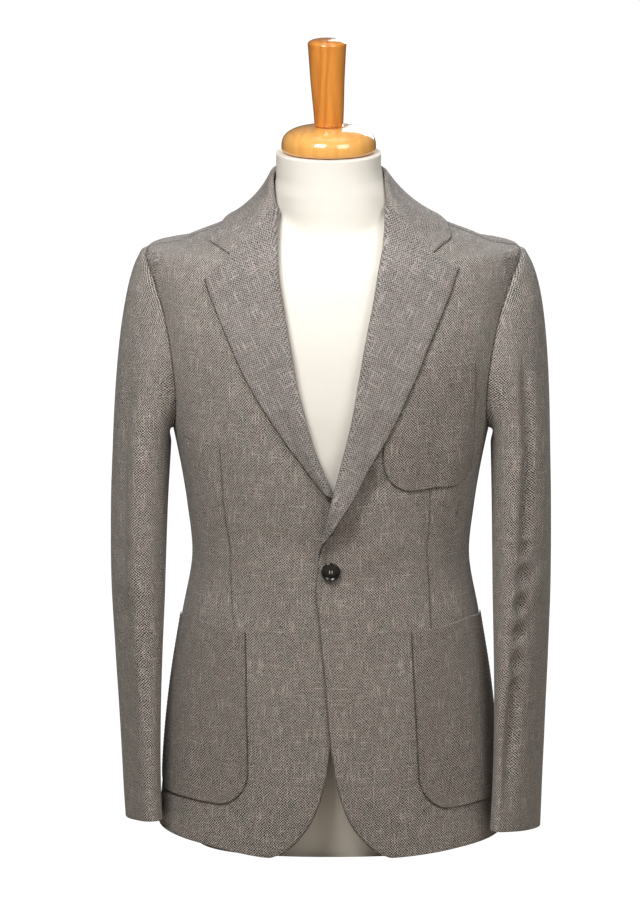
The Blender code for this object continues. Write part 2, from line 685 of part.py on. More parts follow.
def lapel_grid(word):
    """The lapel's middle points, from the roll line out, a row for each turned point of the roll line.

    Each row wraps round the roll and then runs back over the front to the lapel's edge.
    """
    side = 1 if word == "left" else -1
    rolls, own, turned_rows = lapel_rows(word)
    rolls, own = rolls[turned_rows], own[turned_rows]
    tangents = unit(np.gradient(rolls, axis=0))
    fine = np.linspace(0, 1, 400)
    edge = along(LAPEL_EDGES[word], fine)
    square = np.array([fine[np.argmin(np.abs((edge - r) @ t))] for r, t in zip(rolls, tangents)])
    rim = along(LAPEL_EDGES[word], square + (own - square) * ramp(own, 0.25, 0.85))
    gorge_shares = np.linspace(0, 1, GORGE_COLUMNS + 1)[:, None]
    tip_shares = np.linspace(0, 1, LAPEL_COLUMNS - GORGE_COLUMNS + 1)[1:, None]
    start, notch, tip = rolls[-1], np.array(NOTCHES[word]), rim[-1]
    top = np.concatenate([start + (notch - start) * gorge_shares, notch + (tip - notch) * tip_shares])
    even = np.linspace(0, 1, LAPEL_COLUMNS + 1)[:, None]
    bottom = rolls[0] + (rim[0] - rolls[0]) * even
    flat = patch(bottom, top, rolls, rim, (own - own[0]) / (own[-1] - own[0]))
    grid = []
    for i, height in enumerate(rolls[:, 1]):
        radius = ROLL_RADIUS_LOW + (ROLL_RADIUS_HIGH - ROLL_RADIUS_LOW) * own[i]
        turned = ramp(height, BREAKS[word] - FULL_ROLL / 8, BREAKS[word] + FULL_ROLL)
        half = math.pi * radius
        run = np.concatenate([[0], np.cumsum(np.linalg.norm(np.diff(flat[i], axis=0), axis=1))])
        full = np.concatenate([np.linspace(0, half, ARC_COLUMNS, endpoint=False), half + run])
        settled = ramp(run[-1], 0.003, 0.018)
        walked = turned * (full * settled + full[-1] * np.linspace(0, 1, len(full)) * (1 - settled))
        base = front_point(rolls[i])
        out = outward(base)
        run_up = front_point(rolls[i] + tangents[i] * 0.002) - base
        away = unit(np.cross(run_up, out))
        away *= np.sign(away[0])
        base = base + out * (overlap_lift(base, side) - CLOTH / 2)
        row = []
        for far in walked:
            if far <= half:
                a = far / radius
                row.append(base - away * radius * math.sin(a) + out * radius * (1 - math.cos(a)))
                continue
            place_xz = np.array([np.interp(far - half, run, flat[i, :, k]) for k in (0, 1)])
            point = front_point(place_xz)
            share = (far - half) / run[-1]
            rest = overlap_lift(point, side) + lapel_rest(point, side)
            rolled = overlap_lift(base, side) - CLOTH / 2 + 2 * radius
            row.append(point + outward(point) * (rolled + (rest - rolled) * ramp(share, 0, 0.8)))
        grid.append(row)
    return np.array(grid)


def lapel_rest(point, side):
    """Height of the lapel's middle over the panel that it lies on, more over the chest pocket."""
    if side < 0:
        return LAPEL_EDGE_LIFT
    pocket = CHEST_POCKET
    x, z = point[..., 0], point[..., 2]
    over = ramp(z, pocket["bottom"] - POCKET_LIFT_SPREAD, pocket["bottom"])
    over = over * ramp(z, pocket["top"] + POCKET_LIFT_SPREAD, pocket["top"] + 0.002)
    over = over * ramp(x, pocket["front"][0] - POCKET_LIFT_SPREAD, pocket["front"][0] - 0.002)
    return LAPEL_EDGE_LIFT + POCKET_LIFT * over


def front(side, word):
    """One front with its lapel, as one cut of cloth folded at the roll line, and the facing on the lapel."""
    places, rows, stops = front_places(word)
    outer = surface(places[..., 0], places[..., 1])
    normal = outward(outer)
    body = drawn_in(outer, normal) + normal * (overlap_lift(outer, side)[..., None] - CLOTH / 2)
    _, _, turned = lapel_rows(word)
    first = EDGE_ROWS + int(np.argmax(turned))
    whole = lapel_grid(word)
    turned_rows = len(whole)
    body[first : first + turned_rows, 0] = whole[:, 0]
    lapel = whole[:, 1:]

    height, width = body.shape[:2]
    count = lapel.shape[1]
    numbers = height * width + np.arange(turned_rows * count).reshape(turned_rows, count)
    strip = np.concatenate([(first + np.arange(turned_rows))[:, None] * width, numbers], axis=1)
    faces = grid_faces(0, height, width)
    for a, b in zip(strip, strip[1:]):
        for j in range(count):
            faces += [[a[j + 1], a[j], b[j + 1]], [a[j], b[j], b[j + 1]]]
    below = (first - 1) * width
    faces += [[below, strip[0, j], strip[0, j + 1]] for j in range(count)]
    faces = [[int(i) for i in f] for f in faces]

    across = sheet_normals(whole)
    across *= np.sign((across[:, 1] * normal[first : first + turned_rows, 0]).sum(-1))[:, None, None]
    directions = np.concatenate([normal.reshape(-1, 3), across[:, 1:].reshape(-1, 3)])
    mirror = np.array([side, 1, 1])
    points = np.concatenate([body.reshape(-1, 3), lapel.reshape(-1, 3)])
    wall("front_" + word, points * mirror, directions * mirror, faces, CLOTH)

    across[:, 0] = normal[first : first + turned_rows, 0]
    cover = (whole - across * (CLOTH / 2 + 1.5 * HALF_SEAM + FACING / 2))[FACING_FROM:]
    towards = across[FACING_FROM:]
    wall(
        "facing_" + word,
        cover.reshape(-1, 3) * mirror,
        towards.reshape(-1, 3) * mirror,
        grid_faces(0, *cover.shape[:2]),
        FACING,
    )


# ---------------------------------------------------------------- side panels and backs
def side_places(word):
    seams = np.array(SIDE_SEAMS)
    rows = seam_rows()
    edges = []
    for column, angle in ((1, ARMHOLE_FRONT_SEAM), (2, ARMHOLE_BACK_SEAM)):
        corner = armhole(angle)
        low = hem_height(seams[0, column], word)
        height = low + (corner[1] - low) * rows
        bent = smooth(seams[:, 0], seams[:, column], height)
        bent += (corner[0] - bent[-1]) * rows
        edges.append(np.stack([bent, height], axis=-1))
    across = np.linspace(0, 1, SIDE_COLUMNS + 1)
    turns = edges[0][0, 0] + (edges[1][0, 0] - edges[0][0, 0]) * across
    bottom = np.stack([turns, hem_height(turns, word)], axis=-1)
    return patch(bottom, armhole(armhole_angles()[1]), edges[0], edges[1], rows)


def back_places(word):
    seams = np.array(SIDE_SEAMS)
    corner = armhole(ARMHOLE_BACK_SEAM)
    stop = 0.66
    rows = np.concatenate([seam_rows() * stop, np.linspace(stop, 1, BACK_ROWS_ABOVE + 1)[1:]])
    low = hem_height(seams[0, 2], word)
    height = low + (corner[1] - low) * seam_rows()
    bent = smooth(seams[:, 0], seams[:, 2], height)
    bent += (corner[0] - bent[-1]) * seam_rows()
    hole = armhole(armhole_angles()[2][1:])
    outer = np.concatenate([np.stack([bent, height], axis=-1), hole])
    centre = hem_height(180.0, word) + (BACK_NECK_HEIGHT - hem_height(180.0, word)) * rows
    inner = np.stack([180 + 0 * centre, centre], axis=-1)
    across = np.linspace(0, 1, BACK_COLUMNS + 1)
    turns = 180 + (outer[0, 0] - 180) * across
    bottom = np.stack([turns, hem_height(turns, word)], axis=-1)
    bottom[-1] = outer[0]
    neck = np.linspace(0, 1, NECK_COLUMNS + 1)
    neck_height = BACK_NECK_HEIGHT + (NECK_POINT_HEIGHT - BACK_NECK_HEIGHT) * neck**2
    neck_line = np.stack([180 - 90 * neck, neck_height], axis=-1)
    seam_line = shoulder_seam(np.linspace(0, 1, BACK_COLUMNS - NECK_COLUMNS + 1)[1:])
    return body_patch(bottom, np.concatenate([neck_line, seam_line]), inner, outer, rows, back=True)


# ---------------------------------------------------------------- sleeves
def sleeve_ring(side, height, angles):
    """A level ring of the sleeve, square to its own run, at these turns round it."""
    s = table_at(SLEEVES[side], SLEEVE_COLUMNS, height)
    lean = (table_at(SLEEVES[side], SLEEVE_COLUMNS, height + 0.02)["y"] - s["y"]) / 0.02
    angle, turn = np.radians(angles), np.radians(s["turn"])
    power = 2 / SLEEVE_SQUARENESS
    across = s["thick"] * np.sign(np.cos(angle)) * np.abs(np.cos(angle)) ** power
    ahead = s["deep"] * np.sign(np.sin(angle)) * np.abs(np.sin(angle)) ** power
    for fold_side, at, spread, deep in SLEEVE_FOLDS:
        if fold_side == side:
            dip = deep * np.exp(-(((angles - at) / spread) ** 2)) * ramp(height, 0.46, 0.38)
            across = across - dip * np.cos(np.radians(at))
            ahead = ahead - dip * np.sin(np.radians(at)) * 0.5
    x = s["x"] + across * np.cos(turn) - ahead * np.sin(turn)
    y = s["y"] - ahead * np.cos(turn) - across * np.sin(turn)
    return np.stack([x, y, height + ahead * lean * ramp(height, 0.44, 0.30)], axis=-1)


def sleeve_grid(side, angles):
    """The sleeve's outer points, from the armhole down to the cuff."""
    hole = armhole(angles)
    start = surface(hole[:, 0], hole[:, 1])
    heights = np.array([row[0] for row in SLEEVES[side]])
    end = sleeve_ring(side, heights[0], angles)
    below = sleeve_ring(side, heights[0] - 0.01, angles)
    head = np.array(SLEEVE_HEAD)
    leave = unit(np.stack([smooth(head[:, 0], head[:, k], angles) for k in (1, 2, 3)], axis=-1))
    leave = leave * smooth(head[:, 0], head[:, 4], angles)[:, None] * SLEEVE_FULLNESS[side]
    arrive = unit(below - end) * np.linalg.norm(end - start, axis=1)[:, None] * 0.9
    rows = []
    for t in np.linspace(0, 1, SLEEVE_HEAD_ROWS + 1) ** 1.25:
        rows.append(
            start * (1 + 2 * t) * (1 - t) ** 2
            + end * t * t * (3 - 2 * t)
            + leave * t * (1 - t) ** 2
            - arrive * t * t * (1 - t)
        )
    round_hole = np.roll(start, -1, axis=0) - np.roll(start, 1, axis=0)
    into_hole = unit(np.cross(round_hole, outward(start)))
    into_hole *= np.sign((into_hole * (start.mean(axis=0) - start)).sum(-1))[:, None]
    rows[0] = start + into_hole * HALF_SEAM
    for share in np.linspace(0, 1, SLEEVE_ROWS + 1)[1:]:
        rows.append(sleeve_ring(side, heights[0] + (heights[-1] - heights[0]) * share, angles))
    return np.array(rows), outward(start)


def sleeve(side, word):
    """The top sleeve and the under sleeve, two strips seamed at the front and the back of the arm."""
    mirror = np.array([side, 1, 1])
    ahead, under, behind = armhole_angles()
    angles = np.concatenate([ahead, under[1:], behind[1:-1]])
    ring, at_hole = sleeve_grid(word, angles)
    normals = sheet_normals(ring, looped=True)
    normals *= np.sign(((ring - ring.mean(axis=1, keepdims=True)) * normals).sum(-1))[..., None]
    normals[0] = at_hole
    middle = ring - normals * CLOTH / 2
    first, last = len(ahead) - 1, len(ahead) + len(under) - 2 + UNDER_SLEEVE_STEPS
    around = np.arange(len(angles))
    strips = {"under": around[first : last + 1], "top": np.concatenate([around[last:], around[: first + 1]])}
    for name, columns in strips.items():
        grid = middle[:, columns].copy()
        for edge, inside in ((0, 1), (-1, -2)):
            grid[:, edge] += unit(grid[:, inside] - grid[:, edge]) * HALF_SEAM
        wall(
            f"sleeve_{name}_{word}",
            grid.reshape(-1, 3) * mirror,
            normals[:, columns].reshape(-1, 3) * mirror,
            grid_faces(0, *grid.shape[:2]),
            CLOTH,
        )


# ---------------------------------------------------------------- collar
def gorge_section(word):
    """The collar's end: up against the lapel's top row, then out along the collar's own end."""
    lapel = lapel_grid(word)[-1][: ARC_COLUMNS + GORGE_COLUMNS + 1]
    flat_end = front_point(np.array(COLLAR_CORNERS[word]))
    corner = flat_end + outward(flat_end) * COLLAR_LIFT
    end = lapel[-1] + (corner - lapel[-1]) * np.linspace(0, 1, LAPEL_COLUMNS - GORGE_COLUMNS + 1)[1:, None]
    neck = surface(*neck_point())
    neck = neck - outward(neck) * CLOTH / 2
    back_down = np.linspace(1, 0, STAND_COLUMNS + 1)[:-1, None]
    stand = lapel[0] + (unit(neck - lapel[0]) * STAND_AT_GORGE + np.array([0, 0, STAND_GAP])) * back_down
    line = np.concatenate([stand, lapel, end])
    along_gorge = unit(lapel[-1] - lapel[ARC_COLUMNS])
    off_gorge = unit(np.cross(along_gorge, outward(lapel[-1])))
    apart = np.full((len(line), 1), 3.5 * HALF_SEAM)
    apart[: STAND_COLUMNS + ARC_COLUMNS] = GORGE_GAP
    return line + off_gorge * np.sign(off_gorge[2]) * apart


def collar_section(word, share, x, y, height, leaf_turn, leaf_height):
    """One section of the collar: up its stand, over the crease and down its leaf."""
    crease = np.array([x, y, height])
    leaf_base = surface(leaf_turn, leaf_height)
    leaf_out = outward(leaf_base)
    leaf = leaf_base + leaf_out * COLLAR_LIFT
    if share < NECK_SHARE:
        u = share / NECK_SHARE
        seam = surface(180 - 90 * u, BACK_NECK_HEIGHT + (NECK_POINT_HEIGHT - BACK_NECK_HEIGHT) * u**2)
    else:
        start = in_turns(np.array(ROLL_LINES[word][-1]))
        u = (share - NECK_SHARE) / (1 - NECK_SHARE)
        seam = surface(*(neck_point() + (start - neck_point()) * u))
    up = unit(crease - seam)
    seam = seam - outward(seam) * CLOTH / 2 + up * STAND_GAP
    crossing = unit(np.cross(np.cross(up, leaf - crease), up))
    stand = [seam + (crease - seam) * u for u in np.linspace(0, 1, STAND_COLUMNS + 1)[:-1]]
    turned = [
        crease + crossing * CREASE_RADIUS * (1 - math.cos(a)) + up * CREASE_RADIUS * math.sin(a)
        for a in np.linspace(0, math.pi, ARC_COLUMNS + 1)
    ]
    foot = turned[-1]
    reach = np.linalg.norm(leaf - foot)
    down = unit(leaf - crease)
    lie = unit(down - leaf_out * (down @ leaf_out))
    a, b = foot - up * reach * 0.15, leaf - lie * reach * 0.50
    u = np.linspace(0, 1, LAPEL_COLUMNS + 1)[1:, None]
    fall = foot * (1 - u) ** 3 + 3 * a * u * (1 - u) ** 2 + 3 * b * u * u * (1 - u) + leaf * u**3
    return np.concatenate([np.array(stand), np.array(turned), fall])


def collar():
    """Stand and leaf in one fold, from one gorge seam round the neck to the other."""
    mirror = np.array([-1, 1, 1])
    shares = [row[0] for row in COLLAR["left"]] + [1.0]
    keys = [collar_section("right", *row) * mirror for row in COLLAR["right"][:0:-1]]
    keys += [collar_section("left", *row) for row in COLLAR["left"]]
    keys = [gorge_section("right") * mirror] + keys + [gorge_section("left")]
    stops = np.array([-v for v in shares[:0:-1]] + shares)
    want = np.linspace(-1, 1, 2 * COLLAR_SECTIONS + 1)
    keys = np.array(keys)
    flat = keys.reshape(len(keys), -1)
    grid = np.stack([smooth(stops, flat[:, k], want) for k in range(flat.shape[1])], axis=-1)
    grid = grid.reshape(len(want), -1, 3)
    leaf = STAND_COLUMNS + ARC_COLUMNS + 2
    grid[1:-1, leaf:] = clear_of_body(grid[1:-1, leaf:], COLLAR_LIFT)
    normals = sheet_normals(grid)
    wall("collar", grid.reshape(-1, 3), normals.reshape(-1, 3), grid_faces(0, *grid.shape[:2]), COLLAR_CLOTH)


# ---------------------------------------------------------------- pockets and button
def pocket(name, size, side):
    """A patch with round lower corners, laid on the panels' own surface."""
    corner, tall = size["corner"], size["top"] - size["bottom"]
    rows = [(down, 0.0) for down in np.linspace(0, tall - corner, POCKET_ROWS, endpoint=False)]
    for a in np.radians(np.linspace(0, 84, POCKET_CORNER_ROWS + 1)):
        rows.append((tall - corner * (1 - math.sin(a)), corner * (1 - math.cos(a))))
    grid = []
    for down, cut in rows:
        height, share = size["top"] - down, down / tall
        front_turn = turn_at(size["front"][0] + (size["front"][1] - size["front"][0]) * share, height)
        rear_turn = size["rear"][0] + (size["rear"][1] - size["rear"][0]) * share
        line = surface(np.linspace(front_turn, rear_turn, 60), np.full(60, height))
        walked = np.concatenate([[0], np.cumsum(np.linalg.norm(np.diff(line, axis=0), axis=1))])
        want = np.linspace(cut, walked[-1] - cut, POCKET_COLUMNS + 1)
        grid.append(np.stack([np.interp(want, walked, line[:, k]) for k in range(3)], axis=-1))
    outer = np.array(grid)
    normal = outward(outer)
    middle = outer + normal * (LAID_ON + POCKET_CLOTH / 2)
    mirror = np.array([side, 1, 1])
    wall(
        name,
        middle.reshape(-1, 3) * mirror,
        normal.reshape(-1, 3) * mirror,
        grid_faces(0, *outer.shape[:2]),
        POCKET_CLOTH,
    )


def turned_solid(name, profile, sides, finish, centre, axis="Z"):
    """A solid turned from a closed (radius, height) profile that starts and ends on its axis."""
    angles = np.linspace(0, 2 * math.pi, sides, endpoint=False)
    points, rings = [], []
    for radius, height in profile:
        if radius < 1e-7:
            rings.append([len(points)])
            points.append((0.0, 0.0, height))
        else:
            rings.append(list(range(len(points), len(points) + sides)))
            points += [(radius * math.cos(a), radius * math.sin(a), height) for a in angles]
    faces = []
    for a, b in zip(rings, rings[1:]):
        for i in range(sides):
            j = (i + 1) % sides
            corners = [a[i % len(a)], a[j % len(a)], b[j % len(b)], b[i % len(b)]]
            faces.append([c for k, c in enumerate(corners) if c not in corners[:k]])
    points = np.array(points)
    if axis == "-Y":
        points = np.stack([points[:, 0], -points[:, 2], points[:, 1]], axis=-1)
    return place(name, points + np.array(centre), faces, finish)


def button():
    """A horn button with a raised rim and a dished middle, sewn through the left front."""
    seat = front_point(np.array([0.0, BUTTON_HEIGHT]))
    depth_here = seat[1] - float(overlap_lift(seat, 1)) - 0.0013
    r, t = BUTTON_RADIUS, BUTTON_THICK
    profile = (
        (0.0, 0.0),
        (0.62 * r, 0.0),
        (0.90 * r, 0.25 * t),
        (r, 0.55 * t),
        (0.96 * r, 0.90 * t),
        (0.84 * r, t),
        (0.72 * r, 0.80 * t),
        (0.58 * r, 0.62 * t),
        (0.0, 0.55 * t),
    )
    turned_solid("button", profile, 20, "horn", (0.0, depth_here, BUTTON_HEIGHT), axis="-Y")


# ---------------------------------------------------------------- dress form
def under_neck(ring, height):
    """The ring, brought forward under the neck so that the throat runs down into the chest."""
    fronts = np.array(NECK_FRONT)
    reach = smooth(fronts[:, 0], fronts[:, 1], height)
    across = np.clip(np.abs(ring[:, 0]) / NECK[0][1], 0, 1)
    throat = NECK_MIDDLE - reach * np.sqrt(1 - across**2)
    chest = ring[:, 1]
    nearer = (chest + throat - np.sqrt((chest - throat) ** 2 + NECK_BLEND**2)) / 2
    ahead = ramp(height, *THROAT_FROM) * ramp(across, 1.0, 0.9) * (chest < 0)
    ring = ring.copy()
    ring[:, 1] = chest + (nearer - chest) * ahead
    return ring


def form_torso():
    """A smooth limbless body with a flat base and a neck, clear of the cloth but at the shoulders."""
    turns = np.linspace(0, 360, FORM_COLUMNS, endpoint=False)
    half = np.where(turns > 180, 360 - turns, turns)
    sign = np.where(turns > 180, -1.0, 1.0)
    ease = np.array(FORM_EASE)
    rings = []
    for height in FORM_HEIGHTS:
        base = surface(half, np.full(len(half), height))
        out = outward(base)
        if height < 0.30:
            out = unit(out * np.array([1, 1, 0]))
        bearing = ramp(half, *BEARING_FROM) * ramp(half, *BEARING_TO)
        bearing = bearing * ramp(height, *BEARING_LOW) * ramp(height, *BEARING_HIGH)
        gap = smooth(ease[:, 0], ease[:, 1], height)
        gap = gap + (FORM_BEARING - gap) * bearing
        ring = base - out * gap[:, None]
        rings.append(under_neck(ring * np.stack([sign, 1 + 0 * sign, 1 + 0 * sign], axis=-1), height))
    angle = np.radians(turns)
    for height, wide, deep in NECK:
        level = height + 0 * angle
        rings.append(np.stack([wide * np.sin(angle), NECK_MIDDLE - deep * np.cos(angle), level], axis=-1))
    points = np.concatenate(rings)
    count, rows = FORM_COLUMNS, len(rings)
    faces = []
    for i in range(rows - 1):
        for j in range(count):
            k = (j + 1) % count
            faces.append([i * count + j, i * count + k, (i + 1) * count + k, (i + 1) * count + j])
    faces.append(list(range(count)))
    faces.append(list(range((rows - 1) * count, rows * count)))
    place("form_torso", points, faces, "form")


def neck_cap():
    """A turned wooden cap on the neck, and the handle that stands in it."""
    r, h = CAP_RADIUS, CAP_HEIGHT
    power, lip = CAP_ROUNDNESS, CAP_LIP
    turns = np.radians(np.linspace(0, 74, 8))
    curve = [(r * math.cos(a) ** power, h * (lip + (1 - lip) * math.sin(a) ** power)) for a in turns]
    profile = [(0.0, 0.0), (0.88 * r, 0.0), (0.97 * r, 0.4 * lip * h)] + curve + [(0.0, curve[-1][1])]
    turned_solid("neck_cap", profile, 26, "wood", (0.0, NECK_MIDDLE, CAP_BOTTOM))
    low = CAP_BOTTOM + curve[-1][1] + 0.0003
    a, b, length = HANDLE_LOW_RADIUS, HANDLE_HIGH_RADIUS, HANDLE_LENGTH
    profile = [(0.0, 0.0), (a, 0.0), ((a + b) / 2, length * 0.5), (b * 0.985, length * 0.95)]
    for t in np.radians((0, 24, 48, 70)):
        profile.append((b * math.cos(t) ** 0.7, length + HANDLE_DOME * math.sin(t)))
    profile.append((0.0, length + HANDLE_DOME))
    turned_solid("cap_handle", profile, 20, "wood", (0.0, NECK_MIDDLE, low))


def main():
    for thing in list(bpy.data.objects):
        bpy.data.objects.remove(thing, do_unlink=True)
    front(1, "left")
    front(-1, "right")
    for side, word in ((1, "left"), (-1, "right")):
        panel("side_" + word, side_places(word), side)
        panel("back_" + word, back_places(word), side)
        sleeve(side, word)
    collar()
    pocket("pocket_chest", CHEST_POCKET, 1)
    pocket("pocket_hip_left", HIP_POCKETS["left"], 1)
    pocket("pocket_hip_right", HIP_POCKETS["right"], -1)
    button()
    form_torso()
    neck_cap()


main()
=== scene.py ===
"""How a one-button wool jacket looks on its limbless dress form.

Metres, +Z up, the front faces -Y and the wearer's left is +X. The cloth pieces are cut again from the
same smooth curves as the solids, finely enough for their rolled edges, seams and soft folds to show.
"""

import math

import bmesh
import bpy
import numpy as np
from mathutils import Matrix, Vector


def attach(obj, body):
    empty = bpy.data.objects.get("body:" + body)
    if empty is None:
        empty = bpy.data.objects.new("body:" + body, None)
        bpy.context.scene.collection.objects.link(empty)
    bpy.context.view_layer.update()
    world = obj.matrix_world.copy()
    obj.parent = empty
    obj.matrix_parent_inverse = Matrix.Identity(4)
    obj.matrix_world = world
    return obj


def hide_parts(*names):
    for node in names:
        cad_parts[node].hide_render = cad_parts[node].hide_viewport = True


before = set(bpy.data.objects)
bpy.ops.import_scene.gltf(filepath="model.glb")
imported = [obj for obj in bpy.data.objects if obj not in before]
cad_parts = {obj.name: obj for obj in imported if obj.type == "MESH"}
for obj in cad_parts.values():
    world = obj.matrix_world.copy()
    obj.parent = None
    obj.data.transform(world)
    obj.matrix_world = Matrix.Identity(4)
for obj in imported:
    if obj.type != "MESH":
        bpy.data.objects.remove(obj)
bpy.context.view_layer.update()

# ---------------------------------------------------------------- driving sizes of the jacket
CLOTH = 0.0020  # wall of the canvassed fronts, the body and the sleeves
FACING = 0.0012  # wall of the lapel facings
POCKET_CLOTH = 0.0014  # wall of the patch pockets
COLLAR_CLOTH = 0.0022  # wall of the collar
HALF_SEAM = 0.0001  # each piece stops this short of the seam line
LAID_ON = 0.0006  # clearance under a piece that lies on a panel
DERIVATIVE_STEP = 0.0002

# The jacket's outer surface, section by section. Front and back are depths from the middle line.
TORSO_COLUMNS = ("height", "half_width", "front", "back", "middle", "squareness")
TORSO = (
    (-0.010, 0.1965, 0.1340, 0.1260, 0.000, 2.35),
    (0.060, 0.1890, 0.1330, 0.1300, 0.000, 2.35),
    (0.130, 0.1835, 0.1310, 0.1310, 0.000, 2.35),
    (0.187, 0.1770, 0.1295, 0.1270, 0.000, 2.35),
    (0.259, 0.1655, 0.1265, 0.1150, 0.000, 2.35),
    (0.332, 0.1540, 0.1240, 0.1010, 0.000, 2.35),
    (0.387, 0.1595, 0.1270, 0.1020, 0.000, 2.38),
    (0.423, 0.1650, 0.1310, 0.1070, 0.001, 2.40),
    (0.459, 0.1720, 0.1345, 0.1130, 0.002, 2.40),
    (0.500, 0.1810, 0.1355, 0.1180, 0.003, 2.40),
    (0.566, 0.1950, 0.1300, 0.1210, 0.005, 2.40),
    (0.600, 0.2000, 0.1230, 0.1210, 0.006, 2.40),
    (0.640, 0.2055, 0.1100, 0.1150, 0.007, 2.40),
    (0.658, 0.2082, 0.1020, 0.1090, 0.008, 2.38),
    (0.6665, 0.2080, 0.0970, 0.1060, 0.008, 2.36),
    (0.6725, 0.2040, 0.0925, 0.1030, 0.009, 2.34),
    (0.6770, 0.1775, 0.0880, 0.1000, 0.009, 2.32),
    (0.6855, 0.1545, 0.0815, 0.0960, 0.010, 2.30),
    (0.6945, 0.1310, 0.0735, 0.0900, 0.010, 2.28),
    (0.7035, 0.1130, 0.0650, 0.0830, 0.010, 2.25),
    (0.7120, 0.0965, 0.0560, 0.0760, 0.010, 2.22),
    (0.7215, 0.0790, 0.0470, 0.0690, 0.010, 2.20),
    (0.737, 0.0670, 0.0405, 0.0590, 0.010, 2.20),
    (0.760, 0.0620, 0.0380, 0.0540, 0.010, 2.20),
)

# Outlines in the front view, as (x, height). x is measured towards the piece's own side.
FRONT_EDGE = (
    (0.0665, 0.0100), (0.0520, 0.0162), (0.0325, 0.0348), (0.0200, 0.0530), (0.0128, 0.0712),
    (0.0072, 0.0895), (0.0030, 0.1120), (-0.0020, 0.1500), (-0.0064, 0.2021), (-0.0098, 0.2397),
    (-0.0141, 0.2803), (-0.0172, 0.3132), (-0.0145, 0.3390),
)
ROLL_LINES = {
    "left": (
        (-0.0145, 0.3390), (-0.0087, 0.3530), (-0.0030, 0.3735), (0.0040, 0.4087),
        (0.0102, 0.4353), (0.0157, 0.4560), (0.0202, 0.4735), (0.0248, 0.4920), (0.0282, 0.5083),
        (0.0340, 0.5436), (0.0397, 0.5787), (0.0439, 0.6030), (0.0490, 0.6296), (0.0539, 0.6627),
        (0.0571, 0.6860), (0.0597, 0.7056), (0.0608, 0.7205),
    ),
    "right": (
        (-0.0145, 0.3390), (-0.0100, 0.3650), (-0.0032, 0.4000), (0.0024, 0.4212),
        (0.0082, 0.4353), (0.0158, 0.4538), (0.0229, 0.4719), (0.0281, 0.4890), (0.0333, 0.5080),
        (0.0424, 0.5436), (0.0488, 0.5787), (0.0527, 0.5980), (0.0585, 0.6296), (0.0640, 0.6600),
        (0.0665, 0.6838), (0.0656, 0.7056), (0.0618, 0.7205),
    ),
}
# Each lapel's edge, from where it starts to turn up to its tip.
LAPEL_EDGES = {
    "left": (
        (-0.0145, 0.3390), (-0.0090, 0.3570), (-0.0015, 0.3750), (0.0083, 0.3959),
        (0.0239, 0.4212), (0.0394, 0.4488), (0.0560, 0.4760), (0.0705, 0.5035), (0.0982, 0.5644),
        (0.1099, 0.5924), (0.1189, 0.6133), (0.1275, 0.6339), (0.1376, 0.6639),
    ),
    "right": (
        (-0.0058, 0.3920), (0.0016, 0.4110), (0.0148, 0.4313), (0.0304, 0.4538), (0.0491, 0.4790),
        (0.0694, 0.5088), (0.0927, 0.5461), (0.1107, 0.5830), (0.1244, 0.6129), (0.1336, 0.6335),
        (0.1396, 0.6517),
    ),
}
NOTCHES = {"left": (0.1070, 0.6777), "right": (0.1136, 0.6760)}  # where each gorge seam ends
COLLAR_CORNERS = {"left": (0.1268, 0.6883), "right": (0.1363, 0.6852)}
NECK_POINT_HEIGHT = 0.7215  # of the shoulder seam's inner end
NECK_RISE, RIDGE_RADIUS = 0.024, 0.200  # how the panels' divisions run over the neck and the ridge
SHOULDER_POINT_HEIGHT = 0.6718
BACK_NECK_HEIGHT = 0.7235
# The hem: turn round the body, height.
FRONT_HEM, HEM_END = ((0.0, 0.0100), (20.0, 0.0100)), (180.0, 0.0190)
HEMS = {
    "left": (*FRONT_HEM, (35.0, 0.0120), (52.0, 0.0150), (75.0, 0.0165), HEM_END),
    "right": (*FRONT_HEM, (35.0, 0.0145), (52.0, 0.0195), (75.0, 0.0215), HEM_END),
}

# The front's and the back's side seams: height, turn of the front seam, turn of the back seam.
SIDE_SEAMS = (
    (0.000, 61.0, 116.0),
    (0.130, 59.0, 117.0),
    (0.260, 57.0, 119.0),
    (0.332, 57.0, 120.0),
    (0.420, 60.5, 118.0),
    (0.530, 68.0, 114.0),
)
# The armhole: turn round the hole from the shoulder, turn round the body, height.
ARMHOLE = (
    (0, 90.0, 0.6718),
    (30, 75.0, 0.6550),
    (60, 67.5, 0.6180),
    (90, 64.5, 0.5700),
    (120, 67.0, 0.5220),
    (150, 75.0, 0.4860),
    (180, 90.0, 0.4720),
    (210, 104.0, 0.4860),
    (240, 113.0, 0.5220),
    (270, 115.5, 0.5700),
    (300, 112.5, 0.6180),
    (330, 105.0, 0.6550),
    (360, 90.0, 0.6718),
)
ARMHOLE_FRONT_SEAM = 127.0  # turn round the hole where the front meets the side panel
ARMHOLE_BACK_SEAM = 235.0

# The roll of the lapel and the layers at the buttoned front.
ROLL_RADIUS_LOW, ROLL_RADIUS_HIGH = 0.0038, 0.0026
LAPEL_EDGE_LIFT = 0.0019  # middle of the lapel's edge over the panel
OVERLAP = 0.0034  # the left front lies this far over the right one
OVERLAP_FROM, OVERLAP_TO = 0.050, 0.026
CROSSING_HEIGHT, CROSSING_SPREAD, CROSSING_LIFT = 0.409, 0.040, 0.0098
BREAKS = {"left": 0.3390, "right": 0.3920}  # heights where the lapels start to turn
FULL_ROLL = 0.050  # the roll reaches its half turn this far above the break

